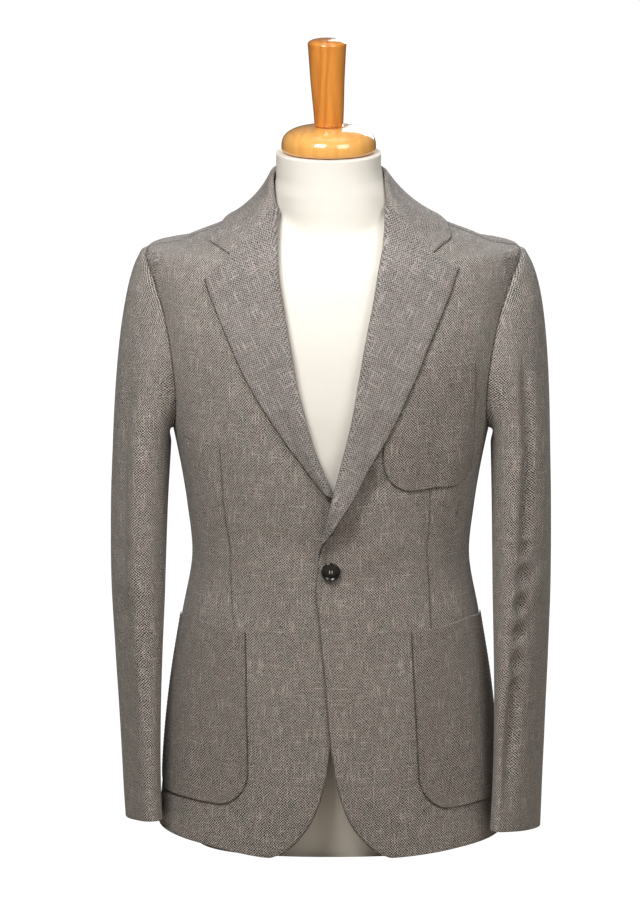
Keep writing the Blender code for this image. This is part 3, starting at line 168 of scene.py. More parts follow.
# Sleeves: height, centre x, centre y, half thickness, half depth, turn towards the body.
SLEEVE_COLUMNS = ("height", "x", "y", "thick", "deep", "turn")
SLEEVES = {
    "left": (
        (0.4550, 0.2105, 0.004, 0.0325, 0.076, 6.0),
        (0.3800, 0.2120, -0.004, 0.0315, 0.073, 9.0),
        (0.3000, 0.2125, -0.013, 0.0295, 0.068, 13.0),
        (0.2200, 0.2120, -0.024, 0.0250, 0.062, 18.0),
        (0.1400, 0.2105, -0.037, 0.0205, 0.057, 22.0),
        (0.0700, 0.2080, -0.049, 0.0190, 0.054, 24.0),
        (0.0250, 0.2060, -0.056, 0.0190, 0.053, 25.0),
    ),
    "right": (
        (0.4550, 0.2095, 0.004, 0.0320, 0.076, 5.0),
        (0.3800, 0.2128, -0.004, 0.0310, 0.073, 6.0),
        (0.3000, 0.2140, -0.013, 0.0290, 0.068, 8.0),
        (0.2200, 0.2135, -0.022, 0.0245, 0.062, 10.0),
        (0.1400, 0.2120, -0.034, 0.0200, 0.057, 12.0),
        (0.0700, 0.2100, -0.044, 0.0183, 0.054, 12.0),
        (0.0352, 0.2080, -0.050, 0.0180, 0.053, 12.0),
    ),
}
SLEEVE_SQUARENESS = 2.15
SLEEVE_FULLNESS = {"left": 1.0, "right": 0.80}  # of the sleeve head
# How the sleeve head leaves the armhole: turn round the hole, direction, reach.
SLEEVE_HEAD = (
    (0, 0.930, 0.000, -0.370, 0.110),
    (45, 0.880, -0.220, -0.420, 0.095),
    (90, 0.640, -0.420, -0.640, 0.080),
    (135, 0.860, -0.350, -0.370, 0.040),
    (180, 1.000, 0.000, -0.100, 0.026),
    (225, 0.860, 0.350, -0.370, 0.040),
    (270, 0.720, 0.420, -0.550, 0.080),
    (315, 0.880, 0.220, -0.420, 0.095),
    (360, 0.930, 0.000, -0.370, 0.110),
)
# Long soft folds of the sleeves: side, turn round the sleeve, its half width, depth.
SLEEVE_FOLDS = (("left", 52.0, 26.0, 0.0034), ("right", 30.0, 24.0, 0.0022))

# The collar, half way round: share of the way, crease x, y, height, and the leaf edge's turn and height.
COLLAR = {
    "left": (
        (0.00, 0.0000, 0.0700, 0.7520, 180.0, 0.7080),
        (0.20, 0.0320, 0.0610, 0.7525, 152.0, 0.7065),
        (0.40, 0.0545, 0.0370, 0.7535, 124.0, 0.7025),
        (0.58, 0.0615, 0.0090, 0.7515, 100.0, 0.7010),
        (0.80, 0.0615, -0.0140, 0.7380, 83.0, 0.6970),
    ),
    "right": (
        (0.00, 0.0000, 0.0700, 0.7520, 180.0, 0.7080),
        (0.20, 0.0325, 0.0610, 0.7525, 152.0, 0.7065),
        (0.40, 0.0555, 0.0370, 0.7535, 124.0, 0.7025),
        (0.58, 0.0620, 0.0090, 0.7515, 100.0, 0.7010),
        (0.80, 0.0635, -0.0140, 0.7380, 83.0, 0.6970),
    ),
}
NECK_SHARE = 0.58  # of the collar's half length, where it passes the shoulder seam
CREASE_RADIUS = 0.0023
STAND_GAP = 0.0018  # between the stand and the neckline
COLLAR_LIFT = 0.0024  # middle of the leaf's edge over the body
STAND_AT_GORGE = 0.0050
GORGE_GAP = 0.0024  # between the collar and the lapel where both roll over

# Patch pockets: front edge x and rear turn, each at the top and the bottom, heights, corner radius
# and how far the mouth rises at six tenths of its width and at its rear.
POCKETS = {
    "pocket_chest": {
        "side": 1,
        "front": (0.055, 0.057),
        "rear": (54.0, 68.0),
        "top": 0.5575,
        "bottom": 0.4240,
        "corner": 0.034,
        "rise": (0.0050, 0.0050),
    },
    "pocket_hip_left": {
        "side": 1,
        "front": (0.0875, 0.0985),
        "rear": (92.0, 88.0),
        "top": 0.264,
        "bottom": 0.0610,
        "corner": 0.040,
        "rise": (0.0050, -0.0040),
    },
    "pocket_hip_right": {
        "side": -1,
        "front": (0.0930, 0.0900),
        "rear": (92.0, 88.0),
        "top": 0.264,
        "bottom": 0.0670,
        "corner": 0.040,
        "rise": (0.0050, -0.0060),
    },
}
POCKET_LIFT, POCKET_LIFT_SPREAD = 0.0024, 0.018  # the lapel rides up over the chest pocket

BUTTON_HEIGHT, BUTTON_RADIUS, BUTTON_THICK = 0.3355, 0.0106, 0.0036

# The dress form, inside the jacket.
FORM_BEARING = 0.0043  # below the cloth's outer face where the shoulders bear on it
BEARING_FROM, BEARING_TO = (56, 78), (128, 104)  # turns where the bearing sets in and ends
BEARING_LOW, BEARING_HIGH = (0.650, 0.674), (0.712, 0.700)
FORM_EASE = (
    (0.000, 0.0460), (0.060, 0.0340), (0.200, 0.0160), (0.330, 0.0090), (0.450, 0.0090),
    (0.600, 0.0090), (0.690, 0.0100), (0.708, 0.0125), (0.7215, 0.0090),
)
FORM_HEIGHTS = (0.0, 0.05, 0.10, 0.16, 0.22, 0.28, 0.335, 0.39, 0.44, 0.49, 0.54, 0.58, 0.62, 0.65)
FORM_HEIGHTS += (0.666, 0.6725, 0.677, 0.6855, 0.6945, 0.7035, 0.712, 0.7215)
NECK = ((0.735, 0.0640, 0.0560), (0.750, 0.0590, 0.0545), (0.762, 0.0578, 0.0540), (0.7780, 0.0578, 0.0540))
NECK_MIDDLE = 0.009
# The neck's front, carried on down into the chest: height, depth from the neck's middle.
NECK_FRONT = (
    (0.6770, 0.0725), (0.6855, 0.0725), (0.6945, 0.0660),
    (0.7035, 0.0615), (0.7120, 0.0590), (0.7350, 0.0560),
)
NECK_BLEND = 0.0040
THROAT_FROM = (0.670, 0.690)
CAP_BOTTOM, CAP_RADIUS, CAP_HEIGHT = 0.7783, 0.0522, 0.0292
CAP_ROUNDNESS, CAP_LIP = 0.69, 0.17
HANDLE_LOW_RADIUS, HANDLE_HIGH_RADIUS, HANDLE_LENGTH = 0.0158, 0.0213, 0.0914
HANDLE_DOME = 0.0058

# The whole stands a little askew: height, shift towards the wearer's left.
LEAN = (
    (0.000, 0.0000), (0.450, 0.0003), (0.550, 0.0008), (0.620, 0.0018), (0.660, 0.0025),
    (0.685, 0.0042), (0.705, 0.0036), (0.725, 0.0015), (0.745, -0.0005), (0.765, -0.0022),
    (0.810, -0.0020), (0.860, -0.0035), (0.914, -0.0042),
)

# ---------------------------------------------------------------- curves and tables
def smooth(xs, ys, at):
    """A smooth curve through (xs, ys) that never overshoots, read at the given places."""
    xs, ys, at = np.asarray(xs, float), np.asarray(ys, float), np.asarray(at, float)
    step = np.diff(xs)
    rise = np.diff(ys) / step
    slope = np.concatenate([[rise[0]], (rise[:-1] + rise[1:]) / 2, [rise[-1]]])
    same = rise[:-1] * rise[1:] > 0
    mean = np.where(same, 2 * rise[:-1] * rise[1:] / np.where(same, rise[:-1] + rise[1:], 1), 0)
    slope[1:-1] = mean
    at = np.clip(at, xs[0], xs[-1])
    i = np.clip(np.searchsorted(xs, at, side="right") - 1, 0, len(step) - 1)
    u = (at - xs[i]) / step[i]
    ends = ys[i] * (1 - u) ** 2 * (1 + 2 * u) + ys[i + 1] * u**2 * (3 - 2 * u)
    return ends + step[i] * u * (1 - u) * (slope[i] * (1 - u) - slope[i + 1] * u)


def table_at(table, columns, at):
    """Each named column of a table, read at these values of its first column."""
    rows = np.array(table, float)
    rows = rows[np.argsort(rows[:, 0])]
    return {name: smooth(rows[:, 0], rows[:, k], at) for k, name in enumerate(columns) if k}


def along(points, shares):
    """Places at these shares of the length of a smooth line through the points."""
    points = np.array(points, float)
    length = np.concatenate([[0], np.cumsum(np.linalg.norm(np.diff(points, axis=0), axis=1))])
    fine = np.linspace(0, length[-1], 1600)
    line = np.stack([smooth(length, points[:, k], fine) for k in range(points.shape[1])], axis=-1)
    walked = np.concatenate([[0], np.cumsum(np.linalg.norm(np.diff(line, axis=0), axis=1))])
    want = np.asarray(shares) * walked[-1]
    return np.stack([np.interp(want, walked, line[:, k]) for k in range(points.shape[1])], axis=-1)


def ramp(value, start, end):
    """0 before start, 1 after end, smooth between."""
    u = np.clip((np.asarray(value, float) - start) / (end - start), 0, 1)
    return u * u * (3 - 2 * u)


def hump(value, middle, width):
    """1 at the middle, falling off smoothly to both sides."""
    return np.exp(-(((value - middle) / width) ** 2))


def unit(v):
    return v / np.maximum(np.linalg.norm(v, axis=-1, keepdims=True), 1e-12)


# ---------------------------------------------------------------- the body's one surface
def section(height):
    return table_at(TORSO, TORSO_COLUMNS, height)


def depth(share, squareness):
    """How deep the section is, as a share, at this share of its half width."""
    return np.maximum(1 - np.abs(share) ** squareness, 0) ** (1 / squareness)


def surface(turn, height):
    """The jacket's outer surface at a turn in degrees and a height."""
    turn = np.radians(turn)
    s = section(height)
    deep = depth(np.sin(turn), s["squareness"])
    y = np.where(np.cos(turn) > 0, -s["front"] * deep, s["back"] * deep) + s["middle"]
    return np.stack([s["half_width"] * np.sin(turn), y, height + 0 * y], axis=-1)


def outside(points):
    """Below 0 inside the body's surface and above 0 outside it."""
    s = section(points[..., 2])
    power = s["squareness"]
    y = points[..., 1] - s["middle"]
    reach = np.where(y < 0, s["front"], s["back"])
    return np.abs(points[..., 0] / s["half_width"]) ** power + np.abs(y / reach) ** power - 1


def slope_out(points):
    rises = [outside(points + d) - outside(points - d) for d in np.eye(3) * DERIVATIVE_STEP]
    return np.stack(rises, axis=-1) / (2 * DERIVATIVE_STEP)


def outward(points):
    """The unit normal of the body's surface, pointing out."""
    return unit(slope_out(points))


def clear_of_body(points, least):
    """The points, moved out where they are nearer to the body's surface than least."""
    for _ in range(3):
        slope = slope_out(points)
        steep = np.linalg.norm(slope, axis=-1, keepdims=True)
        away = outside(points)[..., None] / steep
        points = points + slope / steep * np.maximum(least - away, 0)
    return points


def turn_at(x, height):
    """The turn of the front's point at this x."""
    return np.degrees(np.arcsin(np.clip(x / section(height)["half_width"], -1, 1)))


def in_turns(outline):
    """A front view's (x, height) places as (turn, height)."""
    return np.stack([turn_at(outline[..., 0], outline[..., 1]), outline[..., 1]], axis=-1)


def front_point(place):
    return surface(turn_at(place[..., 0], place[..., 1]), place[..., 1])


def crown(x):
    """Height of the shoulder's ridge over this x, carried on smoothly over the neck."""
    heights = np.linspace(0.6665, NECK_POINT_HEIGHT, 240)
    widths = section(heights)["half_width"]
    x = np.abs(x)
    over_neck = NECK_POINT_HEIGHT + NECK_RISE * (1 - np.minimum(x / widths[-1], 1) ** 2.5)
    return np.where(x > widths[-1], np.interp(x, widths[::-1], heights[::-1]), over_neck)


def spread(places):
    """(turn, height) places as (x, way down from the ridge), where even steps are even on the cloth."""
    turn, height = places[..., 0], places[..., 1]
    x = section(height)["half_width"] * np.sin(np.radians(turn))
    drop = np.maximum(crown(x) - height, 0)
    return np.stack([x, np.sqrt(drop**2 + 2 * RIDGE_RADIUS * drop)], axis=-1)


def gathered(grid, back=False):
    """The (turn, height) places of a spread grid."""
    height = crown(grid[..., 0]) - (np.sqrt(grid[..., 1] ** 2 + RIDGE_RADIUS**2) - RIDGE_RADIUS)
    turn = turn_at(grid[..., 0], height)
    return np.stack([180 - turn if back else turn, height], axis=-1)


def body_patch(bottom, top, inner, outer, rows, back=False):
    """A grid of (turn, height) places between four lines of them."""
    grid = gathered(patch(spread(bottom), spread(top), spread(inner), spread(outer), rows), back)
    grid[0], grid[-1], grid[:, 0], grid[:, -1] = bottom, top, inner, outer
    return grid


def hem_height(turn, word):
    rows = np.array(HEMS[word])
    return smooth(rows[:, 0], rows[:, 1], np.clip(turn, 0, 180))


def armhole(angle):
    """(turn, height) of the armhole at an angle round it, from the shoulder by the front."""
    rows = np.array(ARMHOLE, float)
    fine = np.arange(0, 361, 30)
    angle = np.asarray(angle, float)
    i = np.minimum((angle // 30).astype(int), 11)
    u = (angle - fine[i]) / 30
    value = []
    for k in (1, 2):
        ring = rows[:-1, k]
        before, a, b, after = (ring[(i + j) % 12] for j in (-1, 0, 1, 2))
        bend = (2 * before - 5 * a + 4 * b - after) * u**2 + (3 * a - before - 3 * b + after) * u**3
        value.append(a + (b - before) * u / 2 + bend / 2)
    return np.stack(value, axis=-1)


def patch(bottom, top, inner, outer, rows):
    """A grid of places between four lines. Rows run from bottom to top, columns from inner to outer."""
    s = np.linspace(0, 1, len(bottom))[None, :, None]
    t = np.asarray(rows)[:, None, None]
    sides = (1 - s) * inner[:, None] + s * outer[:, None]
    ends = (1 - t) * bottom[None] + t * top[None]
    corners = (1 - s) * ((1 - t) * bottom[0] + t * top[0]) + s * ((1 - t) * bottom[-1] + t * top[-1])
    return sides + ends - corners


def drawn_in(grid, normal):
    """The grid with each of its four edges moved a little towards the middle, square to the edge."""
    moved = grid.copy()
    for axis in (0, 1):
        line, out = np.swapaxes(grid, 0, axis), np.swapaxes(normal, 0, axis)
        shifted = np.swapaxes(moved, 0, axis)
        for edge, inside in ((0, 1), (-1, -2)):
            square = unit(np.cross(np.gradient(line[edge], axis=0), out[edge]))
            square *= np.sign((square * (line[inside] - line[edge])).sum(-1))[:, None]
            shifted[edge] += square * HALF_SEAM
    return moved


# ---------------------------------------------------------------- how finely the cloth is laid out
EDGE_ROWS, NECK_ROWS = 63, 10
ROLL_KEYS = (0.0, 0.022, 0.05, 0.085, 0.13, 0.165, 0.20, 0.24, 0.29, 0.34, 0.42)
ROLL_KEYS += (0.50, 0.58, 0.66, 0.74, 0.81, 0.87, 0.92, 0.96, 1.0)
ROLL_SHARES = np.interp(np.linspace(0, 19, 96)[1:], np.arange(20), ROLL_KEYS)
ARMHOLE_FROM = 0.34  # share of the roll line across from the armhole's low corner
# Shares of a front's rows: below the roll line, along it and below the neck. And a back's below the armhole.
ROLL_FROM, ROLL_SHARE, NECK_FROM, BACK_SEAM_SHARE = 0.42, 0.53, 0.95, 0.66
FRONT_COLUMNS, ARC_COLUMNS, LAPEL_COLUMNS, GORGE_COLUMNS = 66, 12, 30, 20
SIDE_COLUMNS, BACK_ROWS_ABOVE, BACK_COLUMNS, NECK_COLUMNS = 35, 54, 60, 20
SLEEVE_HEAD_ROWS, SLEEVE_ROWS, UNDER_SLEEVE_STEPS = 34, 76, 6
COLLAR_SECTIONS, STAND_COLUMNS = 84, 8
POCKET_ROWS, POCKET_CORNER_ROWS, POCKET_COLUMNS = 34, 22, 44
FORM_COLUMNS = 128
MARGINS = (0.0004, 0.0010, 0.0018)  # extra lines of points this far in from an edge
EDGE_ROUNDING, SEAM_ROUNDING, SHOULDER_ROUNDING = 0.0022, 0.0011, 0.0004
# The shade on the front under the left lapel: shares of the lapel's edge over it, how near to a line's
# darkness it comes, and how fast it fades.
SHADE_SHARES, SHADE_DARKEST, SHADE_FADE = (0.02, 0.34), 0.0006, 0.070
# Distances from the front's edge and from the armhole seam count as this much, which widens their lines:
# painted shade along the front's edge, and a dark seam line at the armhole.
EDGE_SHADE_LINE, HOLE_LINE = 0.55, 0.7
LAPEL_THINS = 0.0055  # the lapel and its facing thin out over this far towards their edge

# Soft ridges (+) and hollows (-) of the worn cloth: half width, height, then the line they follow,
# as (x, height) places seen from the front or, for the backs, from behind.
def both_sides(rows):
    """Each line followed by its mirror image."""
    for wide, high, places in rows:
        yield wide, high, places
        yield wide, high, tuple((-x, height) for x, height in places)


DRAPE_OF_FRONTS = (
    (0.014, 0.0022, ((0.020, 0.330), (0.045, 0.352), (0.085, 0.372))),
    (0.012, -0.0016, ((0.018, 0.312), (0.050, 0.322), (0.095, 0.330))),
    (0.014, -0.0018, ((-0.020, 0.345), (-0.050, 0.365), (-0.090, 0.372))),
    (0.013, 0.0016, ((-0.022, 0.322), (-0.055, 0.336), (-0.100, 0.340))),
    (0.018, -0.0020, ((0.152, 0.560), (0.128, 0.510), (0.116, 0.450), (0.112, 0.390))),
    (0.018, -0.0020, ((-0.152, 0.560), (-0.128, 0.510), (-0.118, 0.450), (-0.112, 0.390))),
    *both_sides(
        (
            (0.020, 0.0022, ((0.146, 0.500), (0.134, 0.440), (0.128, 0.385))),
            (0.016, -0.0016, ((0.140, 0.610), (0.112, 0.630), (0.085, 0.650))),
        )
    ),
    (0.020, -0.0026, ((0.125, 0.240), (0.130, 0.150), (0.138, 0.030))),
    (0.020, -0.0026, ((-0.125, 0.240), (-0.132, 0.150), (-0.140, 0.030))),
    (0.022, 0.0024, ((0.060, 0.240), (0.064, 0.150), (0.072, 0.030))),
    (0.022, 0.0020, ((-0.060, 0.240), (-0.062, 0.150), (-0.066, 0.030))),
)
DRAPE_OF_BACKS = both_sides(
    (
        (0.020, 0.0024, ((0.070, 0.640), (0.085, 0.560), (0.092, 0.480), (0.088, 0.400))),
        (0.016, -0.0020, ((0.040, 0.560), (0.046, 0.470), (0.044, 0.390))),
        (0.014, -0.0018, ((0.130, 0.400), (0.080, 0.372), (0.020, 0.366))),
        (0.013, 0.0018, ((0.125, 0.366), (0.075, 0.344), (0.020, 0.340))),
        (0.024, -0.0026, ((0.070, 0.280), (0.076, 0.160), (0.082, 0.030))),
    )
)
# The same on the sleeves, as (turn round the sleeve, height) places.
DRAPE_OF_SLEEVES = {
    "left": (
        (0.0090, -0.0108, ((64.0, 0.590), (60.0, 0.460), (59.0, 0.340), (59.0, 0.200), (57.0, 0.020))),
        (0.011, 0.0030, ((27.0, 0.520), (26.0, 0.400), (26.0, 0.250), (26.0, 0.060))),
        (0.0085, 0.0034, ((86.0, 0.520), (86.0, 0.420), (86.0, 0.300), (84.0, 0.120))),
        (0.012, -0.0022, ((46.0, 0.340), (30.0, 0.332), (8.0, 0.330))),
        (0.011, 0.0018, ((46.0, 0.307), (30.0, 0.301), (5.0, 0.300))),
        (0.010, -0.0018, ((46.0, 0.272), (30.0, 0.265), (10.0, 0.262))),
    ),
    "right": (
        (0.012, -0.0048, ((46.0, 0.560), (40.0, 0.440), (37.0, 0.300), (36.0, 0.050))),
        (0.011, 0.0034, ((76.0, 0.520), (72.0, 0.400), (70.0, 0.250), (68.0, 0.060))),
        (0.012, -0.0020, ((80.0, 0.356), (50.0, 0.338), (10.0, 0.336))),
        (0.011, 0.0018, ((80.0, 0.322), (50.0, 0.304), (10.0, 0.302))),
        (0.010, -0.0018, ((80.0, 0.290), (50.0, 0.270), (15.0, 0.266))),
    ),
}
LAPEL_STANDS_OFF = 0.0075  # more room under the left lapel where it starts to turn
LAPEL_STANDS_AT, LAPEL_STANDS_OVER = 0.392, 0.048
LAPEL_GRAIN = math.radians(61.0)  # slope of the lapel's weave
HOLLOW_UNDER_LAPEL = (0.013, -0.0110, ((0.004, 0.350), (0.018, 0.385), (0.034, 0.415), (0.060, 0.452)))
DARTS = {
    "left": ((0.1090, 0.455), (0.1088, 0.3975), (0.1058, 0.3538), (0.1088, 0.3008), (0.1105, 0.262)),
    "right": ((0.1227, 0.470), (0.1161, 0.389), (0.1108, 0.3534), (0.1093, 0.3013), (0.1060, 0.262)),
}


# ---------------------------------------------------------------- worn cloth
def path_on_front(places):
    return front_point(along(places, np.linspace(0, 1, 60)))


def path_on_back(places):
    line = along(places, np.linspace(0, 1, 60))
    return surface(180 - turn_at(line[:, 0], line[:, 1]), line[:, 1])


def worn(points, lines):
    """How far the cloth stands out (+) or sinks in (-) at these points, from soft lines in space."""
    amount = np.zeros(points.shape[:-1])
    for wide, high, path in lines:
        away = np.linalg.norm(points[..., None, :] - path, axis=-1)
        nearest = away.argmin(axis=-1) / (len(path) - 1)
        fading = ramp(nearest, -0.02, 0.30) * ramp(nearest, 1.02, 0.70)
        amount += high * np.exp(-((away.min(axis=-1) / wide) ** 2)) * fading
    return amount


FRONT_LINES = [(wide, high, path_on_front(places)) for wide, high, places in DRAPE_OF_FRONTS]
HOLLOW_LINES = [(*HOLLOW_UNDER_LAPEL[:2], path_on_front(HOLLOW_UNDER_LAPEL[2]))]
BACK_LINES = [(wide, high, path_on_back(places)) for wide, high, places in DRAPE_OF_BACKS]


def in_wear(points, lines=()):
    """The points moved with the soft folds of the body, and with any more of their own."""
    lines = FRONT_LINES + BACK_LINES + list(lines)
    amount = np.concatenate([worn(row[None], lines) for row in points])
    return points + outward(points) * amount[..., None]


def lengths(grid, axis):
    """Distance walked along each line of a grid, from its first point."""
    steps = np.linalg.norm(np.diff(grid, axis=axis), axis=-1)
    start = np.zeros_like(np.take(steps, [0], axis=axis))
    return np.concatenate([start, np.cumsum(steps, axis=axis)], axis=axis)


def with_margins(fields, axis):
    """The grids with extra lines close to both ends of an axis, so that an edge can be rounded."""
    moved = [np.swapaxes(field, 0, axis) for field in fields]
    spots = moved[0]
    kept = []
    shares = {}
    for edge, inside in ((0, 1), (-1, -2)):
        cell = np.linalg.norm(spots[inside] - spots[edge], axis=-1).mean() + 1e-9
        shares[edge] = [min(m / cell, 0.28 * (k + 1)) for k, m in enumerate(MARGINS)]
    for field in moved:
        low = [field[0] + (field[1] - field[0]) * s for s in shares[0]]
        high = [field[-1] + (field[-2] - field[-1]) * s for s in shares[-1]][::-1]
        whole = np.concatenate([field[:1], low, field[1:-1], high, field[-1:]])
        kept.append(np.swapaxes(whole, 0, axis))
    return kept


def quarter_round(distance, reach):
    u = np.clip(distance / reach, 0, 1)
    return np.sqrt(np.maximum(1 - (1 - u) ** 2, 0))


def cloth_shell(middle, towards, thick, flat, edges, line):
    """A closed wall round a grid of middle points whose edges are rounded over.

    edges are the reaches of the rounding at the first and last row and the first and last column,
    each a number or one for each point of that edge. 0 leaves the edge square. flat is where each
    point lies on the flat cloth, and line is its distance from the nearest dark line: a sewn seam or
    dart, and on some pieces painted shade along a turned edge and under the left lapel.
    """
    weights = []
    for k, reach in enumerate(edges):
        count = middle.shape[1] if k < 2 else middle.shape[0]
        weights.append(np.broadcast_to(np.asarray(reach, float), (count,)).astype(float))
    by_row = np.stack([weights[2], weights[3]], axis=-1)[:, None].repeat(middle.shape[1], axis=1)
    by_column = np.stack([weights[0], weights[1]], axis=-1)[None].repeat(middle.shape[0], axis=0)
    fields = [middle, towards, flat, line[..., None], by_row, by_column]
    for axis in (0, 1):
        fields = with_margins(fields, axis)
    middle, towards, flat, line, by_row, by_column = fields
    towards = unit(towards)
    half = np.full(middle.shape[:2], thick / 2)
    for axis, reaches in ((0, by_column), (1, by_row)):
        walked = lengths(middle, axis)
        back = np.take(walked, [-1], axis=axis) - walked
        for distance, reach in ((walked, reaches[..., 0]), (back, reaches[..., 1])):
            rounded = quarter_round(distance, np.maximum(reach, 1e-9))
            half *= np.where(reach > 1e-6, np.maximum(rounded, 0.05), 1.0)
    rows, columns = middle.shape[:2]
    count = rows * columns
    off = towards * half[..., None]
    points = np.concatenate([(middle + off).reshape(-1, 3), (middle - off).reshape(-1, 3)])
    n = np.arange(count).reshape(rows, columns)
    a, b, c, d = n[:-1, :-1], n[:-1, 1:], n[1:, 1:], n[1:, :-1]
    outer = np.stack([a, b, c, d], axis=-1).reshape(-1, 4)
    inner = outer[:, ::-1] + count
    loop = np.concatenate([n[0, :-1], n[:-1, -1], n[-1, :0:-1], n[:0:-1, 0]])
    after = np.roll(loop, -1)
    rim = np.stack([after, loop, loop + count, after + count], axis=-1)
    faces = np.concatenate([outer, inner, rim])
    return points, faces, np.concatenate([flat.reshape(-1, 2)] * 2), np.concatenate([line.reshape(-1)] * 2)


def joined(shells):
    """Several shells as one."""
    starts = np.cumsum([0] + [len(shell[0]) for shell in shells])
    shells = [(p, f + start, uv, line) for (p, f, uv, line), start in zip(shells, starts)]
    return [np.concatenate(field) for field in zip(*shells)]


def facing_out(points, faces):
    """The faces of one closed shell, turned over if they point in."""
    p = points[faces]
    volume = (p[:, 0] * np.cross(p[:, 1], p[:, 2])).sum() + (p[:, 0] * np.cross(p[:, 2], p[:, 3])).sum()
    return faces if volume > 0 else faces[:, ::-1]


def leaned(points):
    lean = np.array(LEAN)
    points = np.array(points, float)
    points[..., 0] += smooth(lean[:, 0], lean[:, 1], points[..., 2])
    return points


def mesh_piece(name, points, faces, finish, flat=None, line=None):
    """A smooth object of these points and faces, with its cloth places as its UV map."""
    mesh = bpy.data.meshes.new(name)
    mesh.from_pydata(leaned(points).tolist(), [], [list(map(int, f)) for f in faces])
    mesh.validate()
    if flat is not None:
        corners = np.zeros(len(mesh.loops), int)
        mesh.loops.foreach_get("vertex_index", corners)
        layer = mesh.uv_layers.new(name="Cloth")
        layer.data.foreach_set("uv", flat[corners].astype(np.float32).ravel())
        # The seam attribute holds each point's distance from a dark line: sewn darts and seams, and painted
        # shade along turned edges and under the left lapel.
        seam = mesh.attributes.new("seam", "FLOAT", "POINT")
        seam.data.foreach_set("value", line.astype(np.float32))
    mesh.shade_smooth()
    mesh.materials.append(finish)
    thing = bpy.data.objects.new(name, mesh)
    bpy.context.scene.collection.objects.link(thing)
    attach(thing, "root")
    return thing


def cloth_piece(node, shells, finish):
    """A cloth object of closed shells that stands for its solid."""
    shells = [(p, facing_out(p, f), uv, line) for p, f, uv, line in shells]
    points, faces, flat, line = joined(shells)
    thing = mesh_piece("wool_" + node, points, faces, FINISH[finish], flat, line)
    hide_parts(node)
    return thing


def girth_table():
    heights = np.linspace(-0.02, 0.55, 115)
    turns = np.linspace(0, 180, 361)
    grid = surface(turns[None] + 0 * heights[:, None], heights[:, None] + 0 * turns[None])
    return heights, turns, lengths(grid, 1)


HEIGHTS_ROUND, TURNS_ROUND, GIRTHS = girth_table()
CHEST_LINE = 0.55
SHOULDER_CORNER, PAST_THE_CORNER = 0.92, 1.9  # share of the half width, cloth for each metre past it
CLIMB_STEPS = 24  # short steps in which the way up over the chest is walked


def on_the_cloth(places, from_behind=False):
    """Where these (turn, height) places lie on the flat cloth: across from the middle, and up."""
    turn, height = places[..., 0], places[..., 1]
    level = np.clip(height, HEIGHTS_ROUND[0], CHEST_LINE)
    x = section(height)["half_width"] * np.sin(np.radians(turn))
    reach = SHOULDER_CORNER * section(CHEST_LINE)["half_width"]
    steady = turn_at(np.clip(x, -reach, reach), level)
    steady = np.where(turn > 90, 180 - steady, steady)
    used = np.where(height > CHEST_LINE, steady, turn)
    i = (level - HEIGHTS_ROUND[0]) / (HEIGHTS_ROUND[1] - HEIGHTS_ROUND[0])
    i = np.clip(i, 0, len(HEIGHTS_ROUND) - 1.001)
    j = np.clip(np.abs(used) * 2, 0, len(TURNS_ROUND) - 1.001)
    i0, j0 = i.astype(int), j.astype(int)
    fi, fj = i - i0, j - j0
    across = (GIRTHS[i0, j0] * (1 - fj) + GIRTHS[i0, j0 + 1] * fj) * (1 - fi)
    across += (GIRTHS[i0 + 1, j0] * (1 - fj) + GIRTHS[i0 + 1, j0 + 1] * fj) * fi
    if from_behind:
        across = np.interp(level, HEIGHTS_ROUND, GIRTHS[:, -1]) - across
    up = np.minimum(height, CHEST_LINE)
    over = np.maximum(height - CHEST_LINE, 0)
    last = None
    for k in range(CLIMB_STEPS + 1):
        z = CHEST_LINE + over * k / CLIMB_STEPS
        s = section(z)
        deep = depth(np.clip(x / s["half_width"], -1, 1), s["squareness"])
        y = np.where(turn > 90, s["back"], -s["front"]) * deep
        if last is not None:
            up = up + np.hypot(y - last, over / CLIMB_STEPS)
        last = y
    across = across + np.where(height > CHEST_LINE, np.maximum(np.abs(x) - reach, 0) * PAST_THE_CORNER, 0)
    return np.stack([across * np.sign(used + 1e-9), up], axis=-1)


# ---------------------------------------------------------------- fronts, lapels and facings
def sheet_normals(grid, looped=False):
    if looped:
        across = np.roll(grid, -1, axis=1) - np.roll(grid, 1, axis=1)
    else:
        across = np.gradient(grid, axis=1)
    return unit(np.cross(np.gradient(grid, axis=0), across))


def overlap_lift(points, side):
    """How far the left front lies out from the body's surface, over the right one."""
    if side < 0:
        return np.zeros(points.shape[:-1])
    x, z = points[..., 0], points[..., 2]
    near_edge = ramp(x, OVERLAP_FROM, OVERLAP_TO) * ramp(z, 0.50, 0.45)
    crossing = hump(z, CROSSING_HEIGHT, CROSSING_SPREAD) * ramp(x, 0.060, 0.012)
    return OVERLAP * near_edge + CROSSING_LIFT * crossing


def front_rows():
    """Shares of the way up the front's two long edges, with their corners on rows."""
    stops = (0, ROLL_FROM, ROLL_FROM + ROLL_SHARE * ARMHOLE_FROM, NECK_FROM, 1.0)
    edge = np.linspace(0, stops[1], EDGE_ROWS + 1)
    roll = stops[1] + (stops[3] - stops[1]) * ROLL_SHARES
    return np.concatenate([edge, roll, np.linspace(stops[3], 1, NECK_ROWS + 1)[1:]]), stops


NECK_POINT = np.array([90.0, NECK_POINT_HEIGHT])


def shoulder_seam(shares):
    """(turn, height) along the shoulder seam, from the neck to the sleeve."""
    near, far = (section(h)["half_width"] for h in (NECK_POINT_HEIGHT, SHOULDER_POINT_HEIGHT))
    height = crown(near + (far - near) * shares)
    height[shares > 1 - 1e-9] = SHOULDER_POINT_HEIGHT
    return np.stack([90 + 0 * shares, height], axis=-1)


def seam_rows():
    rows, stops = front_rows()
    return rows[rows <= stops[2] + 1e-9] / stops[2]


